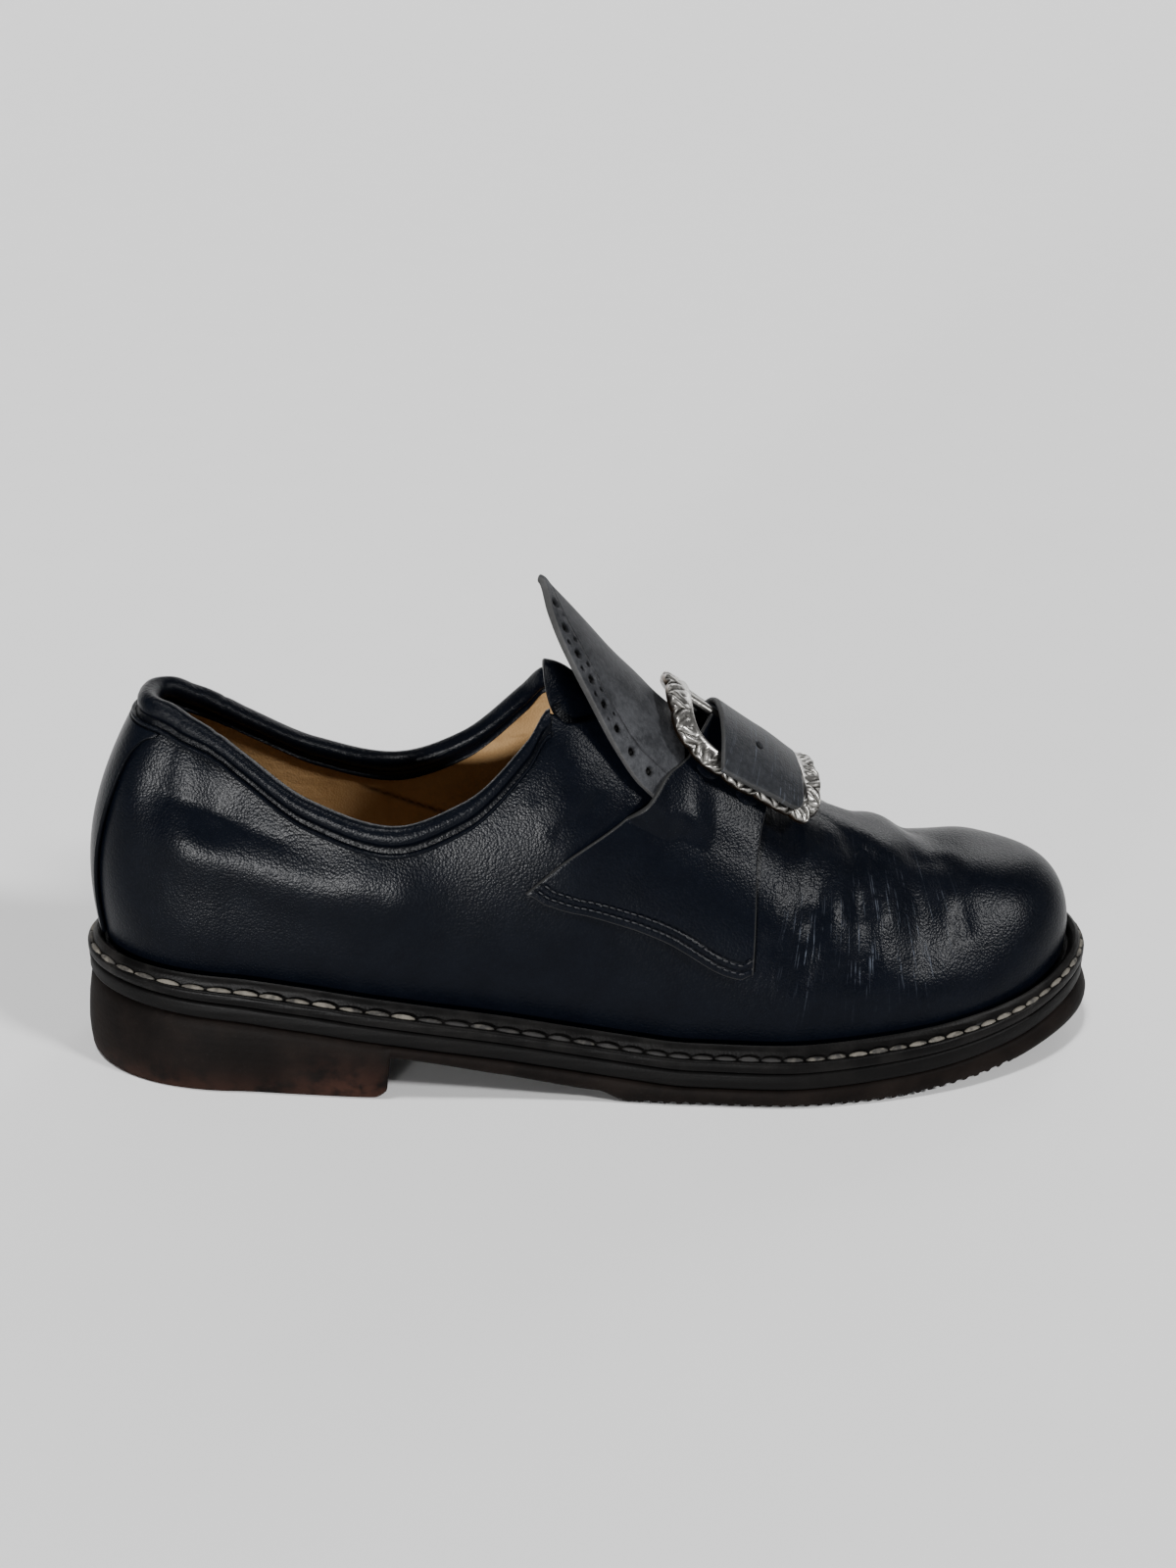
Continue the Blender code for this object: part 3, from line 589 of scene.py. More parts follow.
# %% Outsole
RIB_PITCH, RIB_CUT, RIB_SLOPE, RIB_DEPTH, RIB_REACH = 3.6, 0.36, 0.12, 0.8, 0.22
RIBBED_FROM, RIBBED_TO, RIB_FADE = 158.0, 270.0, 2.0
OUTSOLE_SIDE = table(EDGE, (1.6, 1.0, 1.0), (0.7, 0.97, 1.0), (0.2, 0.86, 0.9), (0.0, 0.66, 0.6),
                     (0.0, 0.5, 0.4), (0.1, 0.34, 0.2), (0.35, 0.2, 0.1), (0.8, 0.06, 0.0), (1.6, 0.0, 0.0))
RUBBED = table("along half_long tall share", (78, 14, 9, 1.0), (30, 30, 5, 0.6))


def ribbed(along, share):
    """Height between the outsole's lower face, 0, and its upper face, 1, with the ribs cut in."""
    low = underside(along)
    phase = np.abs((along / RIB_PITCH) % 1.0 - 0.5)
    cut = ease((phase - 0.5 + RIB_CUT) / RIB_SLOPE)
    cut = cut * ease((along - RIBBED_FROM) / RIB_FADE) * ease((RIBBED_TO - along) / RIB_FADE)
    plain = low + share * (outsole_top(along) - low)
    return plain + RIB_DEPTH * cut * (1 - ease(share / RIB_REACH))


def heel_wear(points):
    """1 at the lower front of the heel and less behind it, where the rubber has rubbed red."""
    along, height = points[..., 0], points[..., 2]
    return sum(spot.share * hump(along, spot.along, spot.half_long) * hump(height, 0.0, spot.tall)
               for spot in RUBBED)


OUTSOLE_EDGES = fill(1.0, 12.0, 3.0) + OUTSOLE_SIDE + fill(0.0, 20.0, 8.0, 3.0)[::-1]
sole_piece("outsole_moulding", "outsole", OUTSOLE_EDGES, ribbed, OUTSOLE_RUBBER, "outsole_rubber",
           layers={"rubbed": heel_wear})

# %% [markdown]
# Between outsole and upper lie the black runner and the storm welt. The welt is a strip of leather
# sewn all round, with a flat run for the seam and a raised bead that keeps water out of the feather
# edge. Both have one section swept round the outline, which is how the strip is really laid.


# %% Black rubber and dressed welt
def make_dressed_edge(name, deep, worn, roughness, line_size):
    """A dark edge with fine lines along it and a dusty bloom."""
    finish, place = new_finish(name)
    bloom = place.noise(9.0, 4.0)
    specks = place.noise(0.7, 2.0)
    worn_part = (place.layer("rubbed") + 0.25) * bloom.clear(0.42, 0.7)
    black = worn_part.mix(deep, worn)
    height = place.bands(200, line_size, 0.4) * 0.35 + specks * 0.65
    return set_surface(finish, {"Base Color": black, "Roughness": roughness + 0.2 * bloom,
                                "Specular IOR Level": 0.06, "Normal": height.bump(0.10)})


MIDSOLE_RUBBER = make_dressed_edge("midsole rubber", colour(0.0014, 0.0013, 0.0013),
                                   colour(0.0045, 0.0039, 0.0035), roughness=0.42, line_size=8.0)
WELT_LEATHER = make_dressed_edge("welt leather", colour(0.0012, 0.0011, 0.0011),
                                 colour(0.010, 0.0092, 0.0086), roughness=0.34, line_size=5.0)


# %% Midsole and welt
def over_welt(along, rise):
    """A height counted from the welt's upper face."""
    return curve(WELT_TOP, along) + rise


RUNNER_TOP, RUNNER_BOTTOM = -WELT_THICK - GAP, -WELT_THICK - GAP - MIDSOLE_THICK
RUNNER_SIDE = table(EDGE, (1.2, RUNNER_TOP, 1.0), (0.4, RUNNER_TOP - 0.3, 1.0),
                    (0.1, RUNNER_TOP - 1.0, 1.0), (0.25, (RUNNER_TOP + RUNNER_BOTTOM) / 2, 1.0),
                    (0.1, RUNNER_BOTTOM + 1.0, 1.0), (0.4, RUNNER_BOTTOM + 0.3, 1.0),
                    (1.3, RUNNER_BOTTOM, 1.0))
RUNNER_EDGES = fill(RUNNER_TOP, 20.0, 6.0) + RUNNER_SIDE + fill(RUNNER_BOTTOM, 20.0, 6.0)[::-1]
FLAT_PLACES = np.unique(np.concatenate([
    np.linspace(0, 1, 50), place_of(np.arange(HEEL_PIVOT, TOE_PIVOT, 2.0)), np.linspace(2, 3, 90)]))
sole_piece("runner", "midsole", RUNNER_EDGES, over_welt, MIDSOLE_RUBBER, "midsole_rubber", places=FLAT_PLACES)

BEAD_RISE, RING_INSET, WORN_HEEL = 2.8, 11.8, 16.0
WELT_SECTION = table(EDGE, (1.0, -3.4, 1.0), (0.3, -3.2, 1.0), (0.0, -2.5, 1.0), (0.0, -0.9, 1.0),
                     (0.2, -0.25, 1.0), (0.7, 0.0, 1.0), (1.6, -0.15, 0.7), (2.9, -0.4, 0.4),
                     (3.5, -0.2, 0.1), (3.9, 1.1, 0.0), (4.4, 2.3, 0.0), (5.2, BEAD_RISE, 0.0),
                     (6.0, 2.4, 0.0), (6.6, 1.4, 0.0), (7.3, 0.0, 0.0), (RING_INSET, 0.0, 0.0),
                     (RING_INSET, -WELT_THICK, 0.0))


def welt_wear(points):
    """1 at the back of the heel, where the black has worn off."""
    return hump(points[..., 0], 0.0, WORN_HEEL)


sole_piece("storm_welt", "welt", WELT_SECTION, over_welt, WELT_LEATHER, "welt_leather", ring=True,
           layers={"rubbed": welt_wear}, places=FLAT_PLACES)

# %% [markdown]
# The seam of the welt shows as a row of fat half-moon stitches of waxed grey thread, long at the
# heel and shorter round the toe. Each is a rounded lump sunk to its middle in the welt; all of
# them are one mesh made from arrays, because hundreds of objects would be slow to handle.


# %% Waxed thread
def make_thread(name, pale, dirty, roughness):
    """Waxed thread: fine uneven strands, and grime in blotches and where it is trodden in."""
    finish, place = new_finish(name)
    grime = (place.noise(3.0, 3.0).clear(0.35, 0.7) * 0.6 + place.layer("grimy")).clear(0.0, 1.0)
    twist = place.noise(0.35, 1.0, (2.0, 1.0, 1.0))
    return set_surface(finish, {"Base Color": grime.mix(pale, dirty), "Roughness": roughness,
                                "Specular IOR Level": 0.25, "Normal": twist.bump(0.12)})


WELT_THREAD = make_thread("welt thread", colour(0.078, 0.071, 0.059), colour(0.006, 0.0055, 0.0052),
                          roughness=0.7)

# %% Welt stitches
STITCH_INSET, STITCH_SUNK, STITCH_LEAN, STITCH_WIDE, STITCH_TALL = 2.2, 0.35, 0.6, 2.0, 2.3
LENGTH_SPREAD, HEIGHT_SPREAD, GRIME_SPREAD = (0.92, 1.0), (0.75, 1.1), (-0.2, 0.25)
SEAM_STEP = 0.25
STITCH_PITCH = table("along pitch", (0, 7.4), (90, 7.4), (200, 6.2), (300, 5.4))
STITCH_GRIME = table("along grime", (0, 0.3), (14, 0.0), (85, 0.1), (112, 0.75), (200, 0.8), (225, 0.2),
                     (285, 0.05), (300, 0.4))


def welt_seam():
    """Centres, directions and lengths of the stitches once round the welt."""
    place, side = around(FLAT_PLACES)
    path = ring_points(place, side, [(STITCH_INSET, -STITCH_SUNK, STITCH_LEAN)], over_welt)[:, 0]
    path = np.concatenate([path, path[:1]])
    fine, _ = along_path(path, SEAM_STEP)
    run = np.cumsum(SEAM_STEP / curve(STITCH_PITCH, fine[:, 0]))
    count = int(run[-1])
    starts = np.searchsorted(run, np.arange(count) * run[-1] / count + 0.5)
    ahead = unit(np.roll(fine, -2, 0) - np.roll(fine, 2, 0))
    return fine[starts], ahead[starts], curve(STITCH_PITCH, fine[starts, 0])


UP = np.array([0.0, 0.0, 1.0])
uneven = np.random.default_rng(7)
seam_at, seam_ahead, seam_pitch = welt_seam()
seam_across = unit(np.cross(UP, seam_ahead))
seam_long = seam_ahead * (seam_pitch * uneven.uniform(*LENGTH_SPREAD, len(seam_at)))[:, None]
seam_up = np.cross(seam_ahead, seam_across) * uneven.uniform(*HEIGHT_SPREAD, (len(seam_at), 1))
seam_points, seam_faces = lumps(seam_at, seam_long, seam_across, seam_up, (1.0, STITCH_WIDE, STITCH_TALL))
grimy = curve(STITCH_GRIME, seam_at[:, 0]) + uneven.uniform(*GRIME_SPREAD, len(seam_at))
add_piece("welt_stitches", seam_points, seam_faces, WELT_THREAD, "welt_leather",
          layers={"grimy": np.repeat(grimy, len(seam_points) // len(seam_at))})

# %% [markdown]
# Inside, the foot stands on a tan leather insole and is held by a tan lining. Lining leather is
# matte, softly wrinkled and darker in patches. The insole fills the welt's ring and rises a little
# at its edge.


# %% Tan leather
def make_tan_leather():
    """Matte lining leather with patches, soft wrinkles, pores and a sewn seam."""
    finish, place = new_finish("tan leather")
    patches = place.noise(26.0, 3.0)
    wrinkles = place.noise(7.0, 2.0, (1.6, 1.0, 0.7))
    pores = place.cells(0.7)
    tan = patches.clear(0.3, 0.7).mix(colour(0.24, 0.140, 0.058), colour(0.33, 0.205, 0.095))
    tan = (wrinkles.clear(0.56, 0.72) * 0.3).mix(tan, colour(0.10, 0.052, 0.02))
    tan = place.layer("seam").mix(tan, colour(0.05, 0.026, 0.012))
    height = wrinkles * 0.7 + pores * 0.12 - place.layer("seam") * 0.5
    return set_surface(finish, {"Base Color": tan, "Roughness": 0.55 + 0.15 * patches,
                                "Specular IOR Level": 0.15, "Normal": height.bump(0.7)})


TAN_LEATHER = make_tan_leather()

# %% Insole
INSOLE_EDGE = RING_INSET + GAP
INSOLE_SIDE = table(EDGE, (INSOLE_EDGE + 2.0, 1.2, 0.0), (INSOLE_EDGE + 0.7, 0.9, 0.0),
                    (INSOLE_EDGE, 0.0, 0.0), (INSOLE_EDGE, -WELT_THICK, 0.0))
INSOLE_EDGES = fill(0.6, 34.0, 22.0) + INSOLE_SIDE + fill(-WELT_THICK, 25.0)[::-1]
sole_piece("footbed", "insole", INSOLE_EDGES, over_welt, TAN_LEATHER, "tan_leather", places=FLAT_PLACES)

# %% [markdown]
# The upper is navy-black leather with a fine pebbled grain, pulled over the last and polished. Wear
# shows in three ways: troughs where the ball of the foot bends it, small wrinkles along them, and
# pale scuffs on the bends. The troughs are moved points of the mesh, so they change the outline and
# catch the light; the grain is far finer than any mesh and is a bump. Where leather is handled it
# turns grey and where it is cut it is pale. Its punched holes and sunk lines are painted black as
# shade, so each has its layer.

# %% Navy leather
FAN_ALONG, FAN_HEIGHT, FAN_REACH = 224.0, 68.0, 80.0
LEATHER_SHINE = 0.06
WORN_DEEP, WORN_PALE = colour(0.0070, 0.0076, 0.0090), colour(0.0190, 0.0200, 0.0225)
SCUFF_GREY, RAW_EDGE = colour(0.050, 0.057, 0.072), colour(0.050, 0.049, 0.046)
# Painted shade: the black put into punched holes and, at half strength, into sunk lines.
PAINTED_HOLE_SHADE = colour(0.0005, 0.0005, 0.0005)


def fanned(place, across, down):
    """Noise drawn out along the lines that spread down both sides from the bend of the vamp."""
    x, _, z = place.parts()
    spread = 1.0 + (FAN_HEIGHT * MM - z) * (1 / (FAN_REACH * MM))
    fan = (x - (FAN_ALONG - LENGTH / 2) * MM) / spread
    drawn_out = {0: fan * (1 / (across * MM)), 2: z * (1 / (down * MM))}
    vector = place.node("ShaderNodeCombineXYZ", None, drawn_out)
    return place.node("ShaderNodeTexNoise", None, {"Vector": vector, "Scale": 1.0, "Detail": 3.0})


def make_leather(name, deep, bloom_shade, roughness, grain_size, relief):
    """Grained leather: mottled, wrinkled, scuffed and worn, with raw cut edges, and painted shade in its
    punched holes and sunk lines.
    """
    finish, place = new_finish(name)
    mottle = place.noise(11.0, 4.0) * 0.6 + place.noise(1.5, 3.0) * 0.4
    grain = place.cells(grain_size) * 0.6 + place.noise(grain_size * 0.6, 2.0) * 0.4
    lines = fanned(place, 1.5, 9.0) * 0.55 + fanned(place, 0.6, 5.0) * 0.25 + place.cells(2.4) * 0.3
    folds = lines * place.layer("wrinkled")
    scuffs = place.layer("scuffed") * fanned(place, 0.5, 15.0).clear(0.58, 0.68)
    scuffs = scuffs * place.noise(3.0, 2.0).clear(0.35, 0.6)
    worn, cut, punched, sunk_painted_shade = (place.layer(layer) for layer in ("worn", "cut", "punched", "sunk_painted_shade"))
    blotches = mottle.clear(0.3, 0.75)
    shade = blotches.mix(deep, bloom_shade)
    shade = worn.mix(shade, blotches.mix(WORN_DEEP, WORN_PALE))
    shade = scuffs.mix(shade, SCUFF_GREY)
    shade = cut.mix(shade, RAW_EDGE)
    # Painted shade: punched holes are painted black, and sunk lines half as dark.
    shade = (punched + 0.5 * sunk_painted_shade).clear(0.0, 1.0).mix(shade, PAINTED_HOLE_SHADE)
    rough = roughness + 0.08 * mottle + 0.15 * scuffs + 0.1 * worn + 0.2 * cut
    height = grain * relief + folds * 0.6 - sunk_painted_shade * 0.6
    return set_surface(finish, {"Base Color": shade, "Roughness": rough, "Normal": height.bump(0.6),
                                "Specular IOR Level": LEATHER_SHINE})


UPPER_LEATHER = make_leather("upper leather", colour(0.0008, 0.0012, 0.0024), colour(0.0015, 0.0021, 0.0038),
                             roughness=0.26, grain_size=0.7, relief=0.19)

# %% Main creases
UPPER_PLACES = np.unique(np.concatenate([
    np.linspace(0, 1, 64), place_of(np.linspace(HEEL_PIVOT, BINDING_END, 80)),
    place_of(np.linspace(BINDING_END, THROAT, 24)), place_of(np.linspace(THROAT, TOE_PIVOT, 56)),
    np.linspace(2, 3, 110)]))
OUTER_STEPS, LINING_STEPS, RIDGE_SHARE, RIDGE_AT = 72, 48, 0.28, 1.9
CREASES = table(
    "along across height to_along to_across to_height depth width",
    (248, 16, 58.5, 247, -10, 58.5, 1.6, 7.5), (243, -12, 57, 240, -35, 38, 0.6, 5.0),
    (266, 18, 51, 280, 4, 49, -1.2, 12.0), (280, 4, 49, 270, -16, 49, -1.0, 12.0),
    (223, -14, 63, 222, -29, 52, 0.55, 4.0), (222, -29, 52, 223, -39, 38, 0.45, 3.5),
    (214, -16, 64, 208, -35, 51, 0.55, 3.2), (208, -35, 51, 204, -42, 36, 0.45, 3.0),
    (251, -9, 56, 254, -27, 43, 0.4, 2.6),
    (232, -14, 60, 231, -29, 50, -0.6, 5.0), (216, -30, 53, 214, -37, 43, -0.6, 4.5),
    (201, -26, 64, 197, -37, 53, -0.6, 5.0),
    (202, -24, 66, 197, -40, 46, 0.2, 1.6), (198, -26, 66, 193, -41, 46, 0.2, 1.5),
    (207, -24, 63, 202, -38, 46, 0.2, 1.5),
    (243, 8, 60, 238, 34, 44, 0.9, 4.5), (224, 10, 64, 218, 36, 46, 0.7, 4.0),
    (29, -16.4, 87, 44, -21, 81.7, 0.7, 6.0), (44, -21, 81.7, 73.5, -29.3, 70.7, 0.6, 6.0),
    (32, -17.3, 86.2, 44, -21, 81.7, 0.2, 1.8), (44, -21, 81.7, 62, -25.8, 75.6, 0.15, 1.8),
    (38, -22.5, 73, 92, -33.8, 62, -1.3, 9.0),
    (148, -32, 88, 138, -34, 80, 0.35, 2.2), (156, -33, 82, 144, -36, 72, 0.3, 2.4),
    (140, -28, 96, 132, -31, 90, 0.25, 2.0))


def crease_field(points):
    """How far the leather sinks or rises: a trough along each crease and a soft ridge beside it."""
    moved = np.zeros(len(points))
    for crease in CREASES:
        start, end = np.array(crease[:3], float), np.array(crease[3:6], float)
        line = end - start
        share = np.clip((points - start) @ line / (line @ line), 0.0, 1.0)
        off = np.linalg.norm(points - start - share[:, None] * line, axis=1) / crease.width
        moved -= crease.depth * (hump(off, 0.0, 1.0) - RIDGE_SHARE * hump(off, RIDGE_AT, 1.0))
    return moved


# %% Upper
WRINKLED = table("along half_long height fade share", (212, 26, 20, 12, 0.65), (148, 16, 66, 14, 0.5))
PLAIN_WRINKLE, BEND_HEIGHT, BEND_TALL = 0.10, 46.0, 12.0
BENDS = table("along half_long", (206, 5), (222, 5), (238, 9))
SEAM_LINE, SEAM_HALF, SEAM_FADE, SEAM_SIDE = ((80.0, 112.0), (71.0, 57.5)), 0.7, 3.0, 12.0


def upper_layers(points):
    """Where the vamp is wrinkled, where it is scuffed, and the seam of the inner side's lining."""
    along, across, height = np.moveaxis(points, -1, 0)
    wrinkled = PLAIN_WRINKLE + sum(
        spot.share * hump(along, spot.along, spot.half_long) * ease((height - spot.height) / spot.fade)
        for spot in WRINKLED)
    bend = sum(hump(along, spot.along, spot.half_long) for spot in BENDS)
    seam = hump(height, np.interp(along, *SEAM_LINE), SEAM_HALF) * (across > SEAM_SIDE)
    start, end = SEAM_LINE[0]
    return {"wrinkled": wrinkled, "scuffed": np.minimum(bend * hump(height, BEND_HEIGHT, BEND_TALL), 1.0),
            "seam": seam * ease((along - start) / SEAM_FADE) * ease((end - along) / SEAM_FADE)}


def wall_mesh(name, finish, slot, top_share, steps):
    """The last's skin from the feather edge up to the collar, as one sheet of faces."""
    place, side = around(UPPER_PLACES)
    rise = rim_parameter(place) * np.linspace(0, top_share, steps + 1)
    points = last_skin(place, side, rise)
    faces = grid_faces(*points.shape[:2], closed_rows=True)
    return add_piece(name, points, faces, finish, slot, "upper", upper_layers(points))


def push(piece, field, thickness):
    """Move a sheet along its normals by a field in millimetres, then thicken it inwards."""
    mesh = piece.data
    place, normal = np.empty(len(mesh.vertices) * 3), np.empty(len(mesh.vertices) * 3)
    mesh.vertices.foreach_get("co", place)
    mesh.vertex_normals.foreach_get("vector", normal)
    place, normal = place.reshape(-1, 3), normal.reshape(-1, 3)
    outward = np.sign((normal * (place - to_metres(SHOE_MIDDLE))).sum())
    if outward < 0:
        mesh.flip_normals()
    place += normal * outward * field(place / MM + ORIGIN)[:, None] * MM
    mesh.vertices.foreach_set("co", place.ravel())
    mesh.update()
    solid = piece.modifiers.new("thickness", "SOLIDIFY")
    solid.thickness = thickness * MM
    solid.offset = -1


OUTER_THICK, LINING_THICK, LINING_GAP, LINING_TOP = 1.2, 0.5, 0.2, 0.985


def lining_field(points):
    """The lining keeps to the inner face of the outer leather."""
    return crease_field(points) - OUTER_THICK - LINING_GAP


outer = wall_mesh("upper_leather", UPPER_LEATHER, "upper_leather", 1.0, OUTER_STEPS)
push(outer, crease_field, OUTER_THICK)
lining = wall_mesh("lining", TAN_LEATHER, "tan_leather", LINING_TOP, LINING_STEPS)
push(lining, lining_field, LINING_THICK)

# %% [markdown]
# A strip of the same leather is folded over the collar's rim and rolled, and a second narrow bead
# is stitched below it, outside and inside, with a groove between that is painted dark as shade. Its
# section is drawn once as offsets from the wall and the rim, and carried round the opening.

# %% Collar binding
BINDING = table(
    "out down",
    (0.45, 7.2), (1.0, 7.2), (1.6, 6.9), (1.8, 6.4), (1.45, 5.95), (0.55, 5.75), (0.5, 4.6), (0.7, 4.0),
    (1.35, 3.3), (1.9, 2.2), (2.0, 0.9), (1.65, -0.4), (0.9, -1.2), (0.0, -1.55), (-1.0, -1.65),
    (-2.0, -1.55), (-2.9, -1.2), (-3.6, -0.4), (-3.9, 0.9), (-3.75, 2.2), (-3.25, 3.2), (-2.75, 3.9),
    (-2.6, 4.6), (-2.65, 5.7), (-3.05, 6.0), (-3.35, 6.4), (-3.3, 6.8), (-2.95, 7.15), (-2.45, 7.2),
    (-2.45, 3.0), (-2.4, -0.3), (-1.0, -0.45), (0.4, -0.3), (0.45, 3.0))
NEARBY, STEP_DOWN, RIM_REACH, RIM_STEPS = 0.004, 0.02, 0.25, 26
GROOVE_FROM, GROOVE_TO, GROOVE_IN, GROOVE_OUT, GROOVE_SHADE = 3.5, 5.9, 0.46, 1.0, 0.9
SOFT_WRINKLE = 0.5


def wall_frame(place, side, t):
    """Points of the wall with their outward and upward directions."""
    step = last_skin(place + NEARBY, side, t) - last_skin(np.maximum(place - NEARBY, 0.0), side, t)
    point = last_skin(place, side, t)
    up = unit(point - last_skin(place, side, t - STEP_DOWN))
    out = unit(np.cross(step, up) * -side[..., None])
    out[..., 1] = np.where(place == 0.0, 0.0, out[..., 1])
    return point, unit(out), up


def rim_path():
    """Places and sides along the collar, from the lateral end of the throat round to the medial one."""
    places = UPPER_PLACES[UPPER_PLACES <= place_of(BINDING_END) + ROUNDING]
    loop = np.concatenate([places[::-1], places[1:]])
    sides = np.concatenate([np.full(len(places), LATERAL), np.full(len(places) - 1, MEDIAL)])
    return loop, sides


def make_binding():
    """The binding's section carried along the rim; its ends are closed."""
    place, side = rim_path()
    out, down = np.array(BINDING, float).T
    rim = rim_parameter(place)
    steps = np.linspace(0, RIM_REACH, RIM_STEPS)
    drops = np.linalg.norm(last_skin(place[:, None], side[:, None], rim[:, None] - steps)
                           - last_skin(place, side, rim)[:, None], axis=-1)
    t = np.stack([top - np.interp(np.maximum(down, 0.0), row, steps) for top, row in zip(rim, drops)])
    point, outward, up = wall_frame(place[:, None] + 0 * t, side[:, None] + 0 * t, t)
    points = point + outward * out[:, None] + up * np.maximum(-down, 0.0)[:, None]
    rows, columns = t.shape
    faces = grid_faces(rows, columns, closed_columns=True) + end_caps(rows, columns)
    # Painted shade: the groove between the roll and the bead is painted dark.
    groove = (down > GROOVE_FROM) & (down < GROOVE_TO) & (out > GROOVE_IN) & (out < GROOVE_OUT)
    layers = {"wrinkled": np.full(t.shape, SOFT_WRINKLE), "sunk_painted_shade": GROOVE_SHADE * groove + 0 * t}
    return add_piece("collar_roll", points, faces, UPPER_LEATHER, "upper_leather", "collar_binding", layers)


make_binding()

# %% [markdown]
# A strip covers the seam at the back of the heel. It is narrow above the welt and spreads under the
# binding, and it lies on the quarters like any sewn overlay.

# %% Back strip
BACK_STRIP = table("height reach", (39, 0.14), (60, 0.17), (74.6, 0.205), (86.6, 0.235), (95, 0.265),
                   (100, 0.33), (103, 0.42))
BAND_DEEP = 6.6
STRIP_THICK, STRIP_GAP, STRIP_SHADE = 1.3, 0.3, 0.9
STRIP_ROWS, STRIP_COLUMNS = 60, 41


def make_back_strip():
    """The strip from above the welt to the binding, with painted shade along its sewn edge."""
    low, high = BACK_STRIP[0].height, BACK_STRIP[-1].height
    height = np.linspace(low, high, STRIP_ROWS)[:, None]
    share = np.linspace(-1, 1, STRIP_COLUMNS)
    place = np.abs(share) * curve(BACK_STRIP, height)
    side = np.where(share < 0, LATERAL, MEDIAL) + 0 * place
    station = station_at(place)
    band = curve(COLLAR, station.pivot + station.ahead * station.reach) - BAND_DEEP
    height = low + (height - low) * (band - low) / (high - low)
    point, out, _ = wall_frame(place, side, rise_to(place, height))
    points, faces, cut = sheet_mesh(point + out * STRIP_GAP, STRIP_THICK)
    # Painted shade: the strip's cut edge is painted dark and sunk a little.
    layers = {"sunk_painted_shade": cut * STRIP_SHADE}
    return add_piece("heel_strip", points, faces, UPPER_LEATHER, "upper_leather", "back_strip", layers)


make_back_strip()

# %% [markdown]
# Two leather tongues close the throat. The inner one lies under it and shows behind it as a dark
# curve. Over it stands the pointed flap: thicker, matte and dark grey, with a row of punched holes
# and scribed lines inside its edge. The holes are real pits in its upper face; the pits and the
# scribed lines are also painted dark as shade.

# %% Inner tongue
TONGUE_REAR, TONGUE_FRONT, TONGUE_HALF, TONGUE_CURVE = 135.0, 174.0, 23.0, 5.0
TONGUE_CORNER, CORNER_POWER, TONGUE_GAP, TONGUE_THICK, TONGUE_RAW = 7.0, 8, 0.9, 1.6, 0.1
TONGUE_RISE, TONGUE_STAND, TONGUE_CROWN = 5.0, 16.0, 15.0
TONGUE_ROWS, TONGUE_COLUMNS = 49, 40


def make_tongue():
    """The inner tongue, arched at its rear, with rounded rear corners."""
    girth = np.linspace(-TONGUE_HALF, TONGUE_HALF, TONGUE_ROWS)[:, None]
    out = girth / TONGUE_HALF
    rear = TONGUE_REAR + TONGUE_CURVE * out**2 + TONGUE_CORNER * out**CORNER_POWER
    along = rear + (TONGUE_FRONT - rear) * np.linspace(0, 1, TONGUE_COLUMNS)
    stand = TONGUE_RISE * (1 - ease(np.abs(girth) / TONGUE_CROWN))
    stand = stand * (1 - ease((along - rear) / TONGUE_STAND))
    underside_grid = skin(along, girth, stand - WALL - TONGUE_GAP - TONGUE_THICK)
    points, faces, cut = sheet_mesh(underside_grid, TONGUE_THICK)
    layers = {"cut": cut * TONGUE_RAW, "wrinkled": np.full(len(points), SOFT_WRINKLE)}
    return add_piece("inner_tongue", points, faces, UPPER_LEATHER, "upper_leather", "tongue", layers)


make_tongue()

# %% Flap
FLAP_LEATHER = make_leather("flap leather", colour(0.009, 0.0095, 0.011), colour(0.034, 0.035, 0.038),
                            roughness=0.46, grain_size=0.7, relief=0.20)
FLAP = table("along rise half_girth", (133.6, 24.0, 0.4), (135.5, 21.9, 9.0), (139, 18.2, 16.5),
             (146, 11.8, 24.0), (153, 6.5, 29.5), (160, 3.0, 33.0), (166, 0.8, 33.0), (172, 0.0, 30.0))
FLAP_END, FLAP_THICK, FLAP_ROUND, FLAP_RAW, TIP_CROWDING = 172.0, 2.2, 0.25, 0.4, 1.15
HOLE_INSET, HOLE_PITCH, HOLE_RADIUS, HOLE_DEPTH, HOLE_CLEAR = 5.2, 7.6, 1.15, 1.6, 0.3
FROM_TIP, FROM_END, PRICK_RADIUS, PRICK_OFFSET = 1.5, 2.0, 0.6, 1.4
PIT_FLOOR, PIT_SLOPE = 0.7, 0.6
SCRIBE_INSET, SCRIBE_HALF = 9.0, 0.35
FLAP_ROWS, FLAP_COLUMNS, PATH_STEPS = 110, 151, 200


def flap_underside(along, share):
    """Points of the flap's lower face, from one edge, -1, to the other, 1."""
    points = skin(along, share * curve(FLAP, along, 2), GAP)
    points[..., 2] += curve(FLAP, along, 1)
    return points


def flap_holes():
    """Centres and sizes of the punched holes along both edges: a big one, then a pair of pricks."""
    along = np.linspace(FLAP[0].along + FROM_TIP, FLAP_END - FROM_END, PATH_STEPS)
    rows = []
    for side in (LATERAL, MEDIAL):
        share = side * np.clip(1 - HOLE_INSET / curve(FLAP, along, 2), 0.0, 1.0)
        path = flap_underside(along, share)
        path = path[np.abs(share) > HOLE_CLEAR]
        big, _ = along_path(path, HOLE_PITCH)
        rows += [(*point, HOLE_RADIUS) for point in big]
        middle = big[:-1] + np.diff(big, axis=0) / 2
        across = unit(np.cross(np.diff(big, axis=0), UP))
        for offset in (-PRICK_OFFSET, PRICK_OFFSET):
            rows += [(*point, PRICK_RADIUS) for point in middle + offset * across]
    return np.array(rows)


def pit(off, radius):
    """1 inside a punched hole, with a short slope at its rim."""
    return 1 - ease((off - radius * PIT_FLOOR) / (radius * PIT_SLOPE))


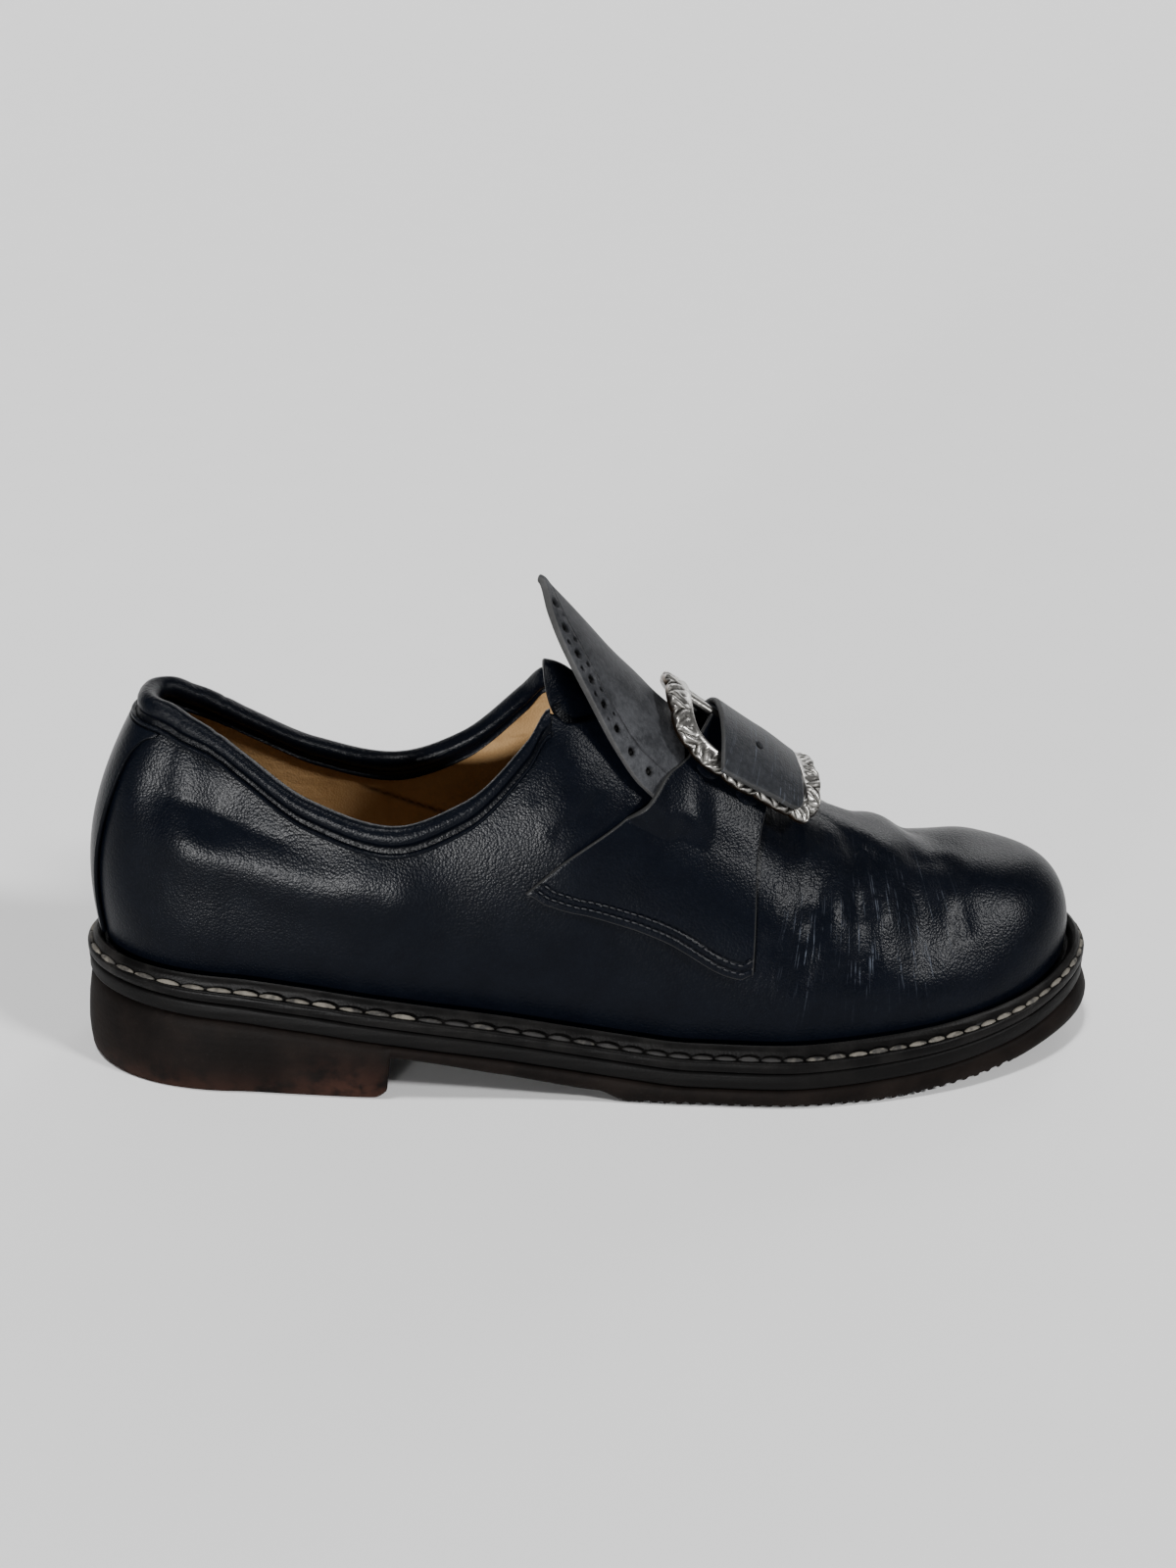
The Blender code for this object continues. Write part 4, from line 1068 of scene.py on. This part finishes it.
def make_flap():
    """The flap as a sheet, with its holes sunk into the upper face."""
    rows = np.linspace(0, 1, FLAP_ROWS)[:, None] ** TIP_CROWDING
    along = FLAP[0].along + (FLAP_END - FLAP[0].along) * rows
    share = np.linspace(-1, 1, FLAP_COLUMNS)
    grid = flap_underside(along, share)
    pits = np.zeros(grid.shape[:2])
    for x, y, z, radius in flap_holes():
        pits = np.maximum(pits, pit(np.linalg.norm(grid - (x, y, z), axis=-1), radius))
    points, faces, cut = sheet_mesh(grid, FLAP_THICK, FLAP_ROUND, -HOLE_DEPTH * pits)
    inset = (1 - np.abs(share)) * curve(FLAP, along, 2)
    # Painted shade: the pits are painted black and the scribed lines dark.
    layers = {"cut": cut * FLAP_RAW, "punched": on_face(pits, cut),
              "sunk_painted_shade": on_face(hump(inset, SCRIBE_INSET, SCRIBE_HALF), cut)}
    return add_piece("pointed_flap", points, faces, FLAP_LEATHER, "flap_leather", "tongue_flap", layers)


make_flap()

# %% [markdown]
# A side panel is sewn to each flank. The near one runs up to the buckle; the far one narrows to a
# strap that passes under the buckle's far side and lies over its middle bar. Both are sheets lifted
# off the last by the height that the bar and the flap need. The strap is handled at every wearing,
# so its leather has worn grey, and one punched hole shows in it, painted black as shade. The sewn
# rows of the hems are pressed in and painted dark as shade.

# %% Panels and strap
STRAP_THICK, FLAP_MARGIN, FLAP_CLIMB = 1.8, 9.0, 8.0
PANEL = table("share rear_along rear_girth front_along front_girth", (0.00, 129, 66, 190.5, 65),
              (0.25, 144, 54, 191.0, 53), (0.50, 160, 36, 191.5, 38), (0.70, 166, 25, 192.5, 26),
              (0.86, 173, 15, 194.5, 13), (1.00, 177, 2.0, 196.0, 2.0))
HEM = table("share sag", (0.0, 0.0), (0.08, 3.4), (0.21, 6.0), (0.49, 4.8), (0.65, 3.6), (0.83, 4.4),
            (0.95, 3.0), (1.0, 0.5))
LATERAL_CARRY = table("girth lift", (2.0, 7.2), (7, 5.0), (18, 2.9), (26, 1.4), (36, GAP))
MEDIAL_CARRY = table("girth lift", (-18, 10.8), (-12, 11.0), (0, 10.5), (6, 9.0), (14, 3.3), (18, 2.9),
                     (26, 1.4), (36, GAP))
STRAP_REAR, STRAP_FRONT, STRAP_END = 177.5, 199.2, -19.8
STRAP_HOLE, STRAP_HOLE_RADIUS, STRAP_HOLE_DEPTH, STRAP_CORNER = (194.0, -13.5, 95.0), 0.95, 1.4, 4.0
PANEL_NECK, STRAP_NECK, PANEL_TOP, STRAP_STEP = 25.0, 9.0, 0.7, 0.4
HEM_ROWS, SEWN_HALF, HEM_CROWDING = (2.0, 4.4), 0.45, 1.5
NEAR_ROWS, FAR_ROWS, PANEL_COLUMNS = 120, 90, 81
PANEL_RAW, PANEL_WRINKLE, WORN_FROM, WORN_FADE, WORN_SCUFFS = 0.3, 0.2, 23.0, 6.0, 0.8


def strap_lift(carry, along, girth):
    """Height of a strap's underside over the instep: as carried, or enough to clear the flap."""
    beside = ease((curve(FLAP, along, 2) + FLAP_MARGIN - np.abs(girth)) / FLAP_CLIMB)
    ahead = ease((FLAP_END + FLAP_MARGIN - along) / FLAP_CLIMB)
    plain = curve(carry, girth)
    clear = FLAP_THICK + 2 * GAP + curve(FLAP, along, 1)
    return plain + beside * ahead * np.maximum(clear - plain, 0.0)


def panel_grid(side, carry, share, across):
    """Points of a side panel's underside from its hem, share 0, to the buckle, share 1."""
    rear_along, rear_girth, front_along, front_girth = (curve(PANEL, share, c) for c in range(1, 5))
    along = rear_along + across * (front_along - rear_along)
    girth = rear_girth + across * (front_girth - rear_girth) + curve(HEM, across) * (1 - share) ** 2
    return skin(along, side * girth, strap_lift(carry, along, girth))


def strap_grid(girth, across):
    """Points of the far strap's underside from the panel's neck to its end."""
    narrow = ease((PANEL_NECK - girth) / (PANEL_NECK - STRAP_NECK))
    rear = curve(PANEL, PANEL_TOP, 1) * (1 - narrow) + STRAP_REAR * narrow
    front = curve(PANEL, PANEL_TOP, 3) * (1 - narrow) + STRAP_FRONT * narrow
    near_end = np.clip(1 - (girth - STRAP_END) / STRAP_CORNER, 0.0, 1.0)
    front = front - STRAP_CORNER * (1 - np.sqrt(1 - near_end**2))
    along = rear + across * (front - rear)
    return skin(along, girth, strap_lift(MEDIAL_CARRY, along, girth))


def panel_rows(count):
    """Shares of a panel's height, closer together at its hem."""
    return np.linspace(0, 1, count)[:, None] ** HEM_CROWDING


def add_panel(name, node, grid, holes, worn):
    """A panel with its sewn rows pressed in and its hole punched, both painted dark as shade, and its strap
    worn grey.
    """
    points, faces, cut = sheet_mesh(grid, STRAP_THICK, relief=-STRAP_HOLE_DEPTH * holes)
    inset = np.cumsum(np.linalg.norm(np.diff(grid, axis=0, prepend=grid[:1]), axis=-1), axis=0)
    sewn = sum(hump(inset, row, SEWN_HALF) for row in HEM_ROWS)
    worn = worn * ease((WORN_FROM - points[:, 1]) / WORN_FADE)
    layers = {"cut": cut * PANEL_RAW, "wrinkled": np.full(len(points), PANEL_WRINKLE),
              # Painted shade: the sewn rows and the punched hole are painted dark.
              "sunk_painted_shade": on_face(sewn, cut), "punched": on_face(holes, cut),
              "worn": worn, "scuffed": WORN_SCUFFS * worn}
    return add_piece(name, points, faces, UPPER_LEATHER, "upper_leather", node, layers)


across = np.linspace(0, 1, PANEL_COLUMNS)
near_grid = panel_grid(LATERAL, LATERAL_CARRY, panel_rows(NEAR_ROWS), across)
far_panel = panel_grid(MEDIAL, MEDIAL_CARRY, PANEL_TOP * panel_rows(FAR_ROWS), across)
far_girth = np.arange(curve(PANEL, PANEL_TOP, 2) - STRAP_STEP, STRAP_END, -STRAP_STEP)
far_grid = np.concatenate([far_panel, strap_grid(far_girth[:, None], across)])
off = np.linalg.norm(far_grid - np.array(STRAP_HOLE), axis=-1)
off = np.sqrt(off**2 - off.min() ** 2)
add_panel("buckle_panel", "strap_lateral", near_grid, np.zeros(near_grid.shape[:2]), 0.0)
add_panel("strap_panel", "strap_medial", far_grid, pit(off, STRAP_HOLE_RADIUS), 1.0)

# %% [markdown]
# The panels' hems are held by two rows of short stitches in dark thread. As on the welt, all of them
# are one mesh of small lumps, set along lines on the panels' faces.

# %% Hem stitches
PANEL_THREAD = make_thread("panel thread", colour(0.0060, 0.0066, 0.0084), colour(0.0024, 0.0028, 0.0038),
                           roughness=0.5)
HEM_PITCH, HEM_STITCH, HEM_STAND = 2.1, (1.7, 0.55, 0.5), 0.1
HEM_FROM, HEM_TO, HEM_INSIDE = 0.02, 0.98, 0.06
SIDEWAYS = (0, 1, 0.4)


def hem_stitches():
    """Both rows of stitches on both panels."""
    parts = []
    for side, carry in ((LATERAL, LATERAL_CARRY), (MEDIAL, MEDIAL_CARRY)):
        line = np.linspace(HEM_FROM, HEM_TO, PATH_STEPS)
        hem, inside = (panel_grid(side, carry, share + 0 * line, line) for share in (0.0, HEM_INSIDE))
        for inset in HEM_ROWS:
            at, ahead = along_path(hem + unit(inside - hem) * inset, HEM_PITCH)
            out = unit((at - SHOE_MIDDLE) * SIDEWAYS)
            across_it = unit(np.cross(out, ahead))
            up = np.cross(ahead, across_it)
            parts.append(lumps(at + up * (STRAP_THICK + HEM_STAND), ahead, across_it, up, HEM_STITCH))
    sizes = np.cumsum([0] + [len(points) for points, _ in parts])
    points = np.concatenate([points for points, _ in parts])
    faces = [[v + first for v in face] for first, (_, part) in zip(sizes, parts) for face in part]
    return add_piece("hem_stitches", points, faces, PANEL_THREAD, "upper_leather")


hem_stitches()

# %% [markdown]
# The buckle is a cast frame of antique silver with a lobed outer rim, leaf ribs on its face and a
# plain middle bar. The pattern is moved points of the frame's own section, and the dark that
# polishing leaves in its hollows follows the same values. Two small leather tabs lie under its edge.


# %% Antique silver
def make_antique_silver():
    """Cast silver, dark in its hollows, warm down its sides and finely scratched."""
    finish, place = new_finish("antique silver")
    tarnish = place.noise(2.2, 3.0)
    scratches = place.noise(0.5, 2.0, (3.0, 1.0, 1.0))
    dark = (place.layer("hollow") * 0.9 + 0.35 * tarnish.clear(0.5, 0.75)).clear(0.0, 1.0)
    metal = place.layer("side").mix(colour(0.25, 0.243, 0.23), colour(0.07, 0.045, 0.027))
    metal = dark.mix(metal, colour(0.013, 0.012, 0.010))
    return set_surface(finish, {"Base Color": metal, "Metallic": 1.0, "Roughness": 0.28 + 0.3 * dark,
                                "Normal": scratches.bump(0.05)})


SILVER = make_antique_silver()

# %% Buckle frame and bar
BUCKLE_AT, BUCKLE_HALF_LONG, BUCKLE_HALF_WIDE = 188.4, 21.0, 17.0
BUCKLE_POWER, BUCKLE_LIFT, FRAME_WIDE, FRAME_THICK, BAR_RADIUS = 4.0, 8.2, 6.4, 3.2, 1.5
FRAME_TURNS, FRAME_SIDES, BAR_SECTIONS, BAR_SIDES = 900, 44, 40, 16
SECTION_POWER, FACE_FADE, LEAF_FROM, LEAF_FADE = 0.6, 0.6, -0.3, 0.2
LOBES, LOBE_DEEP, LOBE_MEAN, LOBE_FROM, LOBE_FADE, LOBE_DARK = 16, 1.0, 0.75, 0.1, 0.6, 0.5
VEINS, VEIN_SLANT, VEIN_DEEP, VEIN_MEAN, VEIN_DARK = 3.4, 0.9, 0.8, 0.5, 0.9
RAIL_AT, RAIL_HALF, RAIL_RISE = -0.7, 0.3, 0.6
SIDE_FROM, SIDE_FADE, SIDE_TOP = 0.7, 0.25, 0.5


def make_frame():
    """Points and faces of the cast frame, with how hollow and how far down its side each point is."""
    turn = np.linspace(0, 2 * np.pi, FRAME_TURNS, endpoint=False)[:, None]
    ahead, aside = np.cos(turn), np.sin(turn)
    reach = superellipse(ahead, aside, BUCKLE_HALF_LONG, BUCKLE_HALF_WIDE, BUCKLE_POWER)
    ring = np.stack([ahead * reach, aside * reach], -1)[:, 0]
    run = np.concatenate([[0.0], np.cumsum(np.linalg.norm(np.diff(ring, axis=0), axis=1))])
    share = (run / (run[-1] + np.linalg.norm(ring[0] - ring[-1])))[:, None]
    lean = np.linspace(0, 2 * np.pi, FRAME_SIDES, endpoint=False)
    out, up = (np.sign(wave) * np.abs(wave) ** SECTION_POWER for wave in (np.cos(lean), np.sin(lean)))
    face, leaf = ease(up / FACE_FADE), ease((out - LEAF_FROM) / LEAF_FADE)
    from_middle = np.abs((LOBES * share) % 1.0 - 0.5)
    lobe = np.sqrt(np.clip(1 - (2 * from_middle) ** 2, 0.0, 1.0))
    veins = np.abs(np.sin(np.pi * (VEINS * from_middle + VEIN_SLANT * out))) * leaf * face
    rail = hump(out, RAIL_AT, RAIL_HALF) * face
    width = FRAME_WIDE / 2 * out + LOBE_DEEP * (lobe - LOBE_MEAN) * ease((out - LOBE_FROM) / LOBE_FADE)
    cast_up = VEIN_DEEP * (veins - VEIN_MEAN * leaf * face) + RAIL_RISE * rail
    height = BUCKLE_LIFT + FRAME_THICK / 2 * up + cast_up
    points = skin(BUCKLE_AT + ahead * (reach + width), aside * (reach + width), height)
    hollow = np.clip((leaf * face - veins) * VEIN_DARK + LOBE_DARK * face * (1 - lobe) * leaf, 0, 1)
    side = ease((np.abs(out) - SIDE_FROM) / SIDE_FADE) * (1 - ease(up / SIDE_TOP)) + 0 * share
    return points, grid_faces(FRAME_TURNS, FRAME_SIDES, True, True), {"hollow": hollow, "side": side}


def make_bar():
    """Points and faces of the plain round bar across the middle."""
    along = BUCKLE_AT + np.linspace(-1, 1, BAR_SECTIONS)[:, None] * BUCKLE_HALF_LONG
    lean = np.linspace(0, 2 * np.pi, BAR_SIDES, endpoint=False)
    points = skin(along, BAR_RADIUS * np.cos(lean), BUCKLE_LIFT + BAR_RADIUS * np.sin(lean))
    faces = grid_faces(BAR_SECTIONS, BAR_SIDES, closed_columns=True)
    return points, faces + end_caps(BAR_SECTIONS, BAR_SIDES)


frame_points, frame_faces, cast = make_frame()
add_piece("buckle_frame", frame_points, frame_faces, SILVER, "antique_silver", "buckle", cast)
add_piece("buckle_bar", *make_bar(), SILVER, "antique_silver", "buckle")

# %% Keeper tabs
TAB_PLACES = np.array([(179.4, -20.6, 92.4), (190.5, -21.1, 84.0)])
TAB_SIZE, TAB_STAND = (7.5, 5.5, 1.4), 0.2


def keeper_tabs():
    """Two small half-round tabs on the near panel, under the edge of the frame."""
    spots = [np.argmin(np.linalg.norm(near_grid - place, axis=-1)) for place in TAB_PLACES]
    up = grid_normals(near_grid).reshape(-1, 3)[spots]
    ahead = unit(np.gradient(near_grid, axis=1)).reshape(-1, 3)[spots]
    across_it = unit(np.cross(up, ahead))
    centres = near_grid.reshape(-1, 3)[spots] + up * (STRAP_THICK + TAB_STAND)
    points, faces = lumps(centres, ahead, across_it, up, TAB_SIZE)
    return add_piece("keeper_tabs", points, faces, UPPER_LEATHER, "upper_leather")


keeper_tabs()

# %% [markdown]
# The picture is taken as the photo was: from the outer side, a little above, near enough that the
# toe and heel turn away. A plain pale sweep, sized in metres, stands for the table and wall. Four
# wide, far lights take the place of a studio's lamps, because a near lamp would leave a bright pool
# on the floor.

# %% Camera
AZIMUTH, ELEVATION, ROLL = np.radians([-4.0, 25.0, 0.4])
DISTANCE, TARGET = 600.0, np.array([147.8, 0.0, 78.8])
PHOTO_HIGH, FOCAL_PIXELS, SENSOR, CLIP_START = 1600, 2139, 36.0, 0.01


def make_camera():
    """The photo's camera: its distance and lens follow from the sole's outline on the floor."""
    level_out = np.cos(ELEVATION)
    back = np.array([np.sin(AZIMUTH) * level_out, -np.cos(AZIMUTH) * level_out, np.sin(ELEVATION)])
    level = unit(np.cross(-back, UP))
    upright = np.cross(back, level)
    right = level * np.cos(ROLL) + upright * np.sin(ROLL)
    up = -level * np.sin(ROLL) + upright * np.cos(ROLL)
    data = bpy.data.cameras.new("camera")
    data.sensor_fit, data.sensor_height = "VERTICAL", SENSOR
    data.lens = FOCAL_PIXELS / PHOTO_HIGH * SENSOR
    data.clip_start = CLIP_START
    camera = bpy.data.objects.new("camera", data)
    columns = np.stack([right, up, back, (TARGET + DISTANCE * back - ORIGIN) * MM], 1)
    camera.matrix_world = Matrix([*columns.tolist(), (0, 0, 0, 1)])
    bpy.context.scene.collection.objects.link(camera)
    bpy.context.scene.camera = camera
    return camera


print("camera at", np.round(make_camera().location, 3))

# %% Floor
SWEEP_NEAR, SWEEP_FAR, SWEEP_RADIUS, SWEEP_HALF, SWEEP_HIGH = -14.0, 8.0, 2.0, 14.0, 5.0
SWEEP_STEPS = 24


def make_floor():
    """A level floor that sweeps up into a wall far behind the shoe."""
    turn = np.linspace(0, np.pi / 2, SWEEP_STEPS)
    profile = [(SWEEP_NEAR, 0.0)]
    profile += [(SWEEP_FAR + SWEEP_RADIUS * np.sin(a), SWEEP_RADIUS * (1 - np.cos(a))) for a in turn]
    profile.append((SWEEP_FAR + SWEEP_RADIUS, SWEEP_HIGH))
    points = [(x, y, z) for x in (-SWEEP_HALF, SWEEP_HALF) for y, z in profile]
    mesh = bpy.data.meshes.new("floor")
    mesh.from_pydata(points, [], grid_faces(2, len(profile)))
    mesh.shade_smooth()
    finish, place = new_finish("floor")
    pale = place.noise(40.0, 2.0).mix(colour(0.60, 0.60, 0.60), colour(0.62, 0.62, 0.62))
    mesh.materials.append(set_surface(finish, {"Base Color": pale, "Roughness": 0.7}))
    floor = bpy.data.objects.new("floor", mesh)
    bpy.context.scene.collection.objects.link(floor)


make_floor()

# %% Lights
SUNS = table("name x y z power spread",
             ("key", 0.66, -0.48, 0.58, 3.8, 8), ("top", -0.15, -0.10, 1.0, 3.2, 10),
             ("low", -0.43, -0.90, 0.03, 7.5, 7), ("back", 0.45, 0.77, 0.45, 0.8, 20))
WORLD_LIGHT = 0.18


def make_lights():
    """The far lights, each shining from its own direction, and the faint light from all round."""
    for sun in SUNS:
        light = bpy.data.lights.new(sun.name, "SUN")
        light.energy, light.angle = sun.power, np.radians(sun.spread)
        made = bpy.data.objects.new(sun.name, light)
        made.location = (sun.x, sun.y, sun.z)
        made.rotation_euler = made.location.to_track_quat("Z", "Y").to_euler()
        bpy.context.scene.collection.objects.link(made)
    world = bpy.data.worlds.new("studio")
    world.use_nodes = True
    world.node_tree.nodes["Background"].inputs["Color"].default_value = colour(1.0, 1.0, 1.0)
    world.node_tree.nodes["Background"].inputs["Strength"].default_value = WORLD_LIGHT
    bpy.context.scene.world = world


make_lights()
